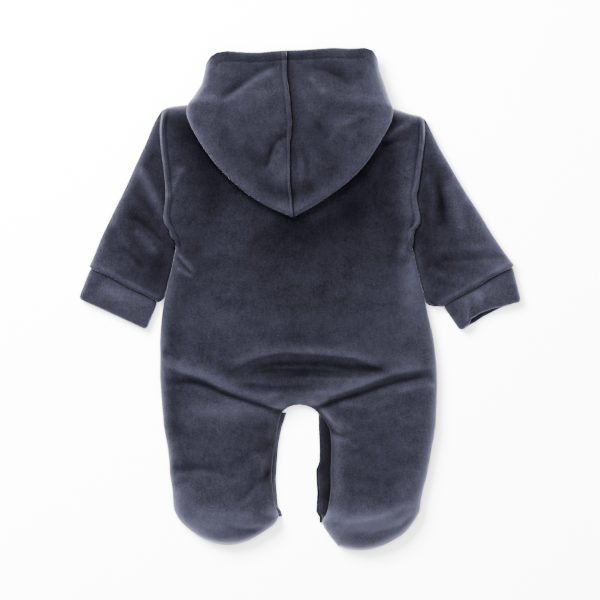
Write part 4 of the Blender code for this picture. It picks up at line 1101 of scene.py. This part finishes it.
def seam_form(side, off, y):
    """The seam allowance is folded to the left and topstitched, so it stands up there."""
    if side == "right":
        return -1.7 * bell(off, 1.7)
    wide = allowance(y)
    ridge = 1.3 * smooth(off) * (1.0 - smooth((off - wide + 0.6) / 1.6))
    return ridge - 0.9 * bell(off, 0.7) - 0.5 * bell(off - wide - 0.6, 1.0)


def make_hood(side):
    def form(u, v):
        station = v ** 1.22 * TIP
        sx, sy, ox, oy, kx, ky, ex, ey, under, top = along(HOOD[side], station)
        under = np.maximum(under, 0.0)
        half = 0.5 * (top - under)
        width = np.hypot(sx - ox, sy - oy)
        rim = np.minimum(np.minimum(HOOD_RIM, 0.8 * width), 1.1 * half)
        flat = 1.0 - rim / width
        bow_weight = unit(1.0 - station / FACE_ROWS) ** 2
        # top layer
        t = unit(u / TOP_SHARE)
        share = flat * (0.3 * t + 0.7 * t ** 1.8)  # columns lie closer beside the seam
        lift = HOOD_PUFF * smooth(share * 1.2) * smooth((1.0 - share) * 3.0)
        x = mix(sx, ox, share)
        y = mix(sy, oy, share) + read(FACE_BOW[side], share) * bow_weight
        z = top + lift * between(PUFF_HEIGHTS, top)
        # rolled outline
        turn = (0.5 - unit((u - TOP_SHARE) / (ROLL_SHARE - TOP_SHARE))) * math.pi
        share = 1.0 - rim / width * (1.0 - np.cos(turn))
        rolling = (u > TOP_SHARE) & (u <= ROLL_SHARE)
        bow = np.where(turn > 0, read(FACE_BOW[side], share) * bow_weight, 0.0)
        x = np.where(rolling, mix(sx, ox, share), x)
        y = np.where(rolling, mix(sy, oy, share) + bow, y)
        z = np.where(rolling, under + half * (1.0 + np.sin(turn)), z)
        # lower layer by the knee to the sewn end
        run = unit((u - ROLL_SHARE) / (1.0 - ROLL_SHARE))
        reach = np.minimum(rim / np.maximum(np.hypot(ox - kx, oy - ky), rim), 1.0)
        ax, ay = mix(ox, kx, reach), mix(oy, ky, reach)
        first = unit(run * 2.0)
        second = unit(run * 2.0 - 1.0)
        lower = u > ROLL_SHARE
        x = np.where(lower, mix(ax, kx, first) + (ex - kx) * second, x)
        y = np.where(lower, mix(ay, ky, first) + (ey - ky) * second, y)
        free = (1.0 - smooth((station - 2.5) / 2.0)) * smooth(station * 1.2)
        lying = under + relief(x, y, HOOD_UNDER_FOLDS[side]) * smooth(run * 5.0) * free
        z = np.where(lower, lying, z)
        # folds, hem and seam of the top layer
        on_top = u <= TOP_SHARE + 0.05
        inner = smooth((1.0 - t) * 5.0 + 0.1)
        hem = distance(x, y, FACE_LINE[side])
        sewn = profile(hem, HEM_FORM) - 2.0 * (1.0 - round_up(hem / 3.5))
        seam = np.abs(x - sx)
        dressed = (relief(x, y, HOOD_FOLDS[side]) * smooth(hem / 14.0) + sewn) * inner
        z = z + np.where(on_top, dressed + seam_form(side, seam, y), 0.0)
        sway = ease(SEAM_SWAY, y) * bell(seam, 16.0)
        for column, across, drop in SEAM_FLAP[side]:
            turned_in = between(FLAP_Y, sy) * (np.round(u * HOOD_COLUMNS) == column)
            x = x + turned_in * (sx + across - x)
            z = z - turned_in * drop
        return x + np.where(on_top, sway, 0.0), y, z

    shell = grid(HOOD_COLUMNS, HOOD_ROWS, form)
    face_up(shell, HOOD_TOP_FROM)
    made = piece("hood_%s_velour" % side, shell, VELOUR, ["hood_" + side])
    x, y, z = flat_points(made)
    set_pile_and_painted_light(made, hood_pile_and_painted_light(side, x, y, z))
    rows = [[(x, y - HEM) for x, y in FACE_LINE[side][2:-3]]]
    if side == "left":
        # the topstitching of the seam, further out where the allowance is wide
        for top, low, count, gap in ((266.0, 186.0, 30, 5.8), (160.0, 104.0, 20, 3.2)):
            rows.append([(seam_x(y) - gap, y) for y in np.linspace(top, low, count)])
    thread = sew(made, "hood_%s_stitches" % side, rows)


def seam_x(y):
    """Where the hood's seam runs in plan."""
    return read(sorted((row[1], row[0]) for row in HOOD_SEAM), y) + ease(SEAM_SWAY, y)


def face_line(side):
    """The hood's face edge in plan."""
    sx, sy, ox, oy = HOOD[side][0][:4]
    share = np.linspace(0.0, 1.0, 25)
    return list(zip(mix(sx, ox, share), mix(sy, oy, share) + read(FACE_BOW[side], share)))


FACE_LINE = {side: face_line(side) for side in SIDES}
HOOD_OUTLINE = {side: track(HOOD[side], np.linspace(0.0, TIP, 65), 2) for side in SIDES}
HOOD_NAP_AND_PAINTED_LIGHT = (
    (-88, 240, 20, 30, 0.08), (92, 236, 14, 34, 0.22), (-70, 212, 26, 10, 0.08), (-32, 200, 18, 26, 0.12),
    (40, 246, 26, 9, -0.1), (-60, 150, 26, 20, -0.06), (0, 150, 18, 30, -0.04), (-11, 98, 14, 7, 0.2),
    (50, 180, 26, 24, 0.04), (-80, 232, 22, 12, -0.16), (-100, 197, 11, 22, 0.09),
    (-77, 184, 14, 13, -0.09), (12, 208, 12, 12, 0.1), (34, 187, 9, 10, 0.1), (78, 189, 12, 12, 0.08),
    (34, 142, 14, 12, -0.11), (-12, 142, 8, 12, 0.16), (-33, 120, 13, 9, -0.18), (12, 120, 11, 8, -0.09),
    (46, 268, 26, 6, 0.1), (78, 250, 12, 12, 0.07), (8, 120, 16, 12, -0.08), (-21, 138, 9, 15, 0.14),
    (70, 205, 26, 10, 0.06), (-31, 163, 7, 9, -0.16), (-20, 177, 9, 4, -0.16), (-14, 114, 12, 6, -0.14),
    (22, 188, 12, 14, -0.12), (30, 165, 14, 10, -0.04),
)


def hood_pile_and_painted_light(side, x, y, z):
    # Painted highlight along the rolled outline, a darker hem band with painted shade in its stitched
    # groove, and painted shade and highlight at the seam.
    rim = 0.24 * bell(distance(x, y, HOOD_OUTLINE[side]), 12.0) - 0.05
    hem = distance(x, y, FACE_LINE[side])
    band = -0.04 * smooth((12.0 - hem) / 2.5) - 0.10 * bell(hem - HEM, 1.4)
    from_seam = x - seam_x(y)
    if side == "right":
        seam_painted_light = profile(from_seam, UNDER_CUT_PAINTED_SHADE)
    else:
        wide = allowance(y)
        seam_painted_light = -0.45 * bell(from_seam, 0.8) + 0.10 * bell(from_seam + 0.55 * wide, 1.6)
        seam_painted_light -= 0.12 * bell(from_seam + wide + 0.8, 1.2)
    pile_and_painted_light = rim + band + seam_painted_light + painted_fold_light(x, y, HOOD_FOLDS[side]) + nap_and_painted_light_patches(x, y, HOOD_NAP_AND_PAINTED_LIGHT)
    return np.where(z > HOOD_LYING, pile_and_painted_light, 0.0)


# --- inner-leg strips and studs ----------------------------------------------------------------

PLACKET_ROWS = 60
PLACKET_TUCK = 0.4  # under the edge of the leg
PLACKET_FROM, PLACKET_SPAN = 22.0, 9.0  # stations of the body's rows
PLACKET_NAP_AND_PAINTED_LIGHT = (
    (22, -150, 12, 34, -0.2), (20, -185, 8, 10, -0.18), (19, -204, 8, 7, 0.1), (24, -214, 12, 12, -0.2),
    (19, -228, 8, 6, 0.08), (-25, -170, 6, 16, -0.12), (-26, -205, 6, 12, 0.06), (-22, -232, 6, 7, -0.14),
)


def make_placket(side):
    """Two layers of the strip that closes the inner leg."""
    sign = 1 if side == "left" else -1

    def edges(v):
        _, _, leg_x, y = along(BODY[side], PLACKET_FROM + PLACKET_SPAN * v)
        leg_x = leg_x - sign * PLACKET_TUCK
        edge_x = read(PLACKET_EDGE[side], y)
        step_x = edge_x - sign * read(PLACKET_STEP[side], y)
        step_x = leg_x + sign * np.maximum((step_x - leg_x) * sign, PLACKET_LEAST)
        edge_x = step_x + sign * np.maximum((edge_x - step_x) * sign, PLACKET_LEAST)
        return leg_x, step_x, edge_x, y

    # round the strip: which of the leg, the step and the edge, and the height
    root = SEAM_Z - 2 * SEAM_GAP
    corners = ((0, root - 3.0), (2, 0.0), (2, 1.5), (1, 1.7), (1, 3.0), (0, root))

    def form(u, v):
        *places, y = edges(v)
        k = np.round(u * len(corners)).astype(int) % len(corners)
        x = np.choose(k, [places[c[0]] for c in corners])
        z = np.choose(k, [np.full(v.shape, c[1]) for c in corners])
        return x, y, z

    strip = grid(len(corners), PLACKET_ROWS, form, wrapped=True)
    ends = [e for e in strip.edges if e.is_boundary]
    bmesh.ops.contextual_create(strip, geom=ends)
    bmesh.ops.recalc_face_normals(strip, faces=strip.faces)
    bmesh.ops.bevel(strip, geom=[e for e in strip.edges if e.calc_face_angle(0) > 0.6], offset=0.25 * MM,
                    segments=2, affect="EDGES", profile=0.5, material=-1)
    made = piece("leg_placket_%s_velour" % side, strip, VELOUR, ["leg_placket_" + side], wall=0)
    x, y, _ = flat_points(made)
    leg = distance(x, y, INNER_LEG[side])
    # painted shade where the strip runs in under the leg's edge
    set_pile_and_painted_light(made, nap_and_painted_light_patches(x, y, PLACKET_NAP_AND_PAINTED_LIGHT) - 0.06 - 0.20 * (leg < 1.5))


STUD_RADIUS = (5.4, 4.9)
STUD_THICK = 0.95
STUD_MIDDLE = 0.7
STUD_RING = ((0.9, 0.0), (0.5, -0.3))  # width, depth of the steps round the cap


def make_studs():
    for number, y in enumerate(STUD_Y, 1):
        stud = bmesh.new()
        bmesh.ops.create_cone(stud, cap_ends=True, segments=40, radius1=STUD_RADIUS[0] * MM,
                              radius2=STUD_RADIUS[1] * MM, depth=STUD_THICK * MM)
        cap = min(stud.faces, key=lambda f: f.calc_center_median().z)
        for width, depth in STUD_RING:
            bmesh.ops.inset_region(stud, faces=[cap], thickness=width * MM, depth=depth * MM)
        bmesh.ops.translate(stud, verts=stud.verts, vec=put(read(STUD_LINE, y), y, STUD_MIDDLE))
        made = piece("stud_%d_metal" % number, stud, METAL, ["stud_%d" % number], wall=0)
        made.data.set_sharp_from_angle(angle=math.radians(40))


make_back()
for half in SIDES:
    make_front(half)
    make_sleeve(half)
    make_cuff(half)
    make_hood(half)
    make_placket(half)
make_studs()


# --- floor, light and camera ---------------------------------------------------------------------

def make_floor():
    mesh = bmesh.new()
    bmesh.ops.create_grid(mesh, x_segments=1, y_segments=1, size=4.0)
    look = Look("pale_floor")
    look.feed(Base_Color=(0.92, 0.92, 0.92, 1.0), Roughness=0.95, Specular_IOR_Level=0.0)
    floor = add("floor", mesh_data("floor", mesh))
    floor.data.materials.append(look.made)
    return floor


def lamp(name, place, aim, size, energy, only=None):
    data = bpy.data.lights.new(name, "AREA")
    data.shape = "SQUARE"
    data.size = size
    data.energy = energy
    made = add(name, data)
    made.location = place
    made.rotation_euler = (Vector(aim) - Vector(place)).to_track_quat("-Z", "Y").to_euler()
    if only:
        lit = bpy.data.collections.new(name + "_lights")
        lit.objects.link(only)
        made.light_linking.receiver_collection = lit


def make_light(floor):
    world = bpy.data.worlds.new("studio")
    world.use_nodes = True
    background = world.node_tree.nodes["Background"]
    background.inputs["Color"].default_value = (1.0, 1.0, 1.0, 1.0)
    background.inputs["Strength"].default_value = 1.1
    bpy.context.scene.world = world
    lamp("key", (-0.6, 1.6, 1.5), (0.0, 0.0, 0.0), 0.9, 110.0)
    # Two lamps light only the ground: nearly white, with a short soft shadow at the lower right.
    lamp("ground_key", (-1.2, 1.15, 1.6), (0.0, 0.0, 0.0), 1.0, 720.0, floor)
    lamp("ground_fill", (0.0, 0.0, 3.0), (0.0, 0.0, 0.0), 3.0, 360.0, floor)


SENSOR = 36.0  # millimetres
CAMERA_HEIGHT = 6.0
SCALE_HEIGHT = 0.012  # where the photo's scale holds, in metres
PHOTO_COLUMNS = 600
COLUMN = 1.1  # millimetres
VIEW_MIDDLE = (0.55, -1.65)


def make_camera():
    data = bpy.data.cameras.new("camera")
    data.sensor_width = SENSOR
    data.lens = SENSOR * (CAMERA_HEIGHT - SCALE_HEIGHT) / (PHOTO_COLUMNS * COLUMN * MM)
    data.clip_end = 20.0
    camera = add("camera", data)
    x, y, _ = put(*VIEW_MIDDLE, 0.0)
    camera.location = (x, y, CAMERA_HEIGHT)
    bpy.context.scene.camera = camera


make_light(make_floor())
make_camera()
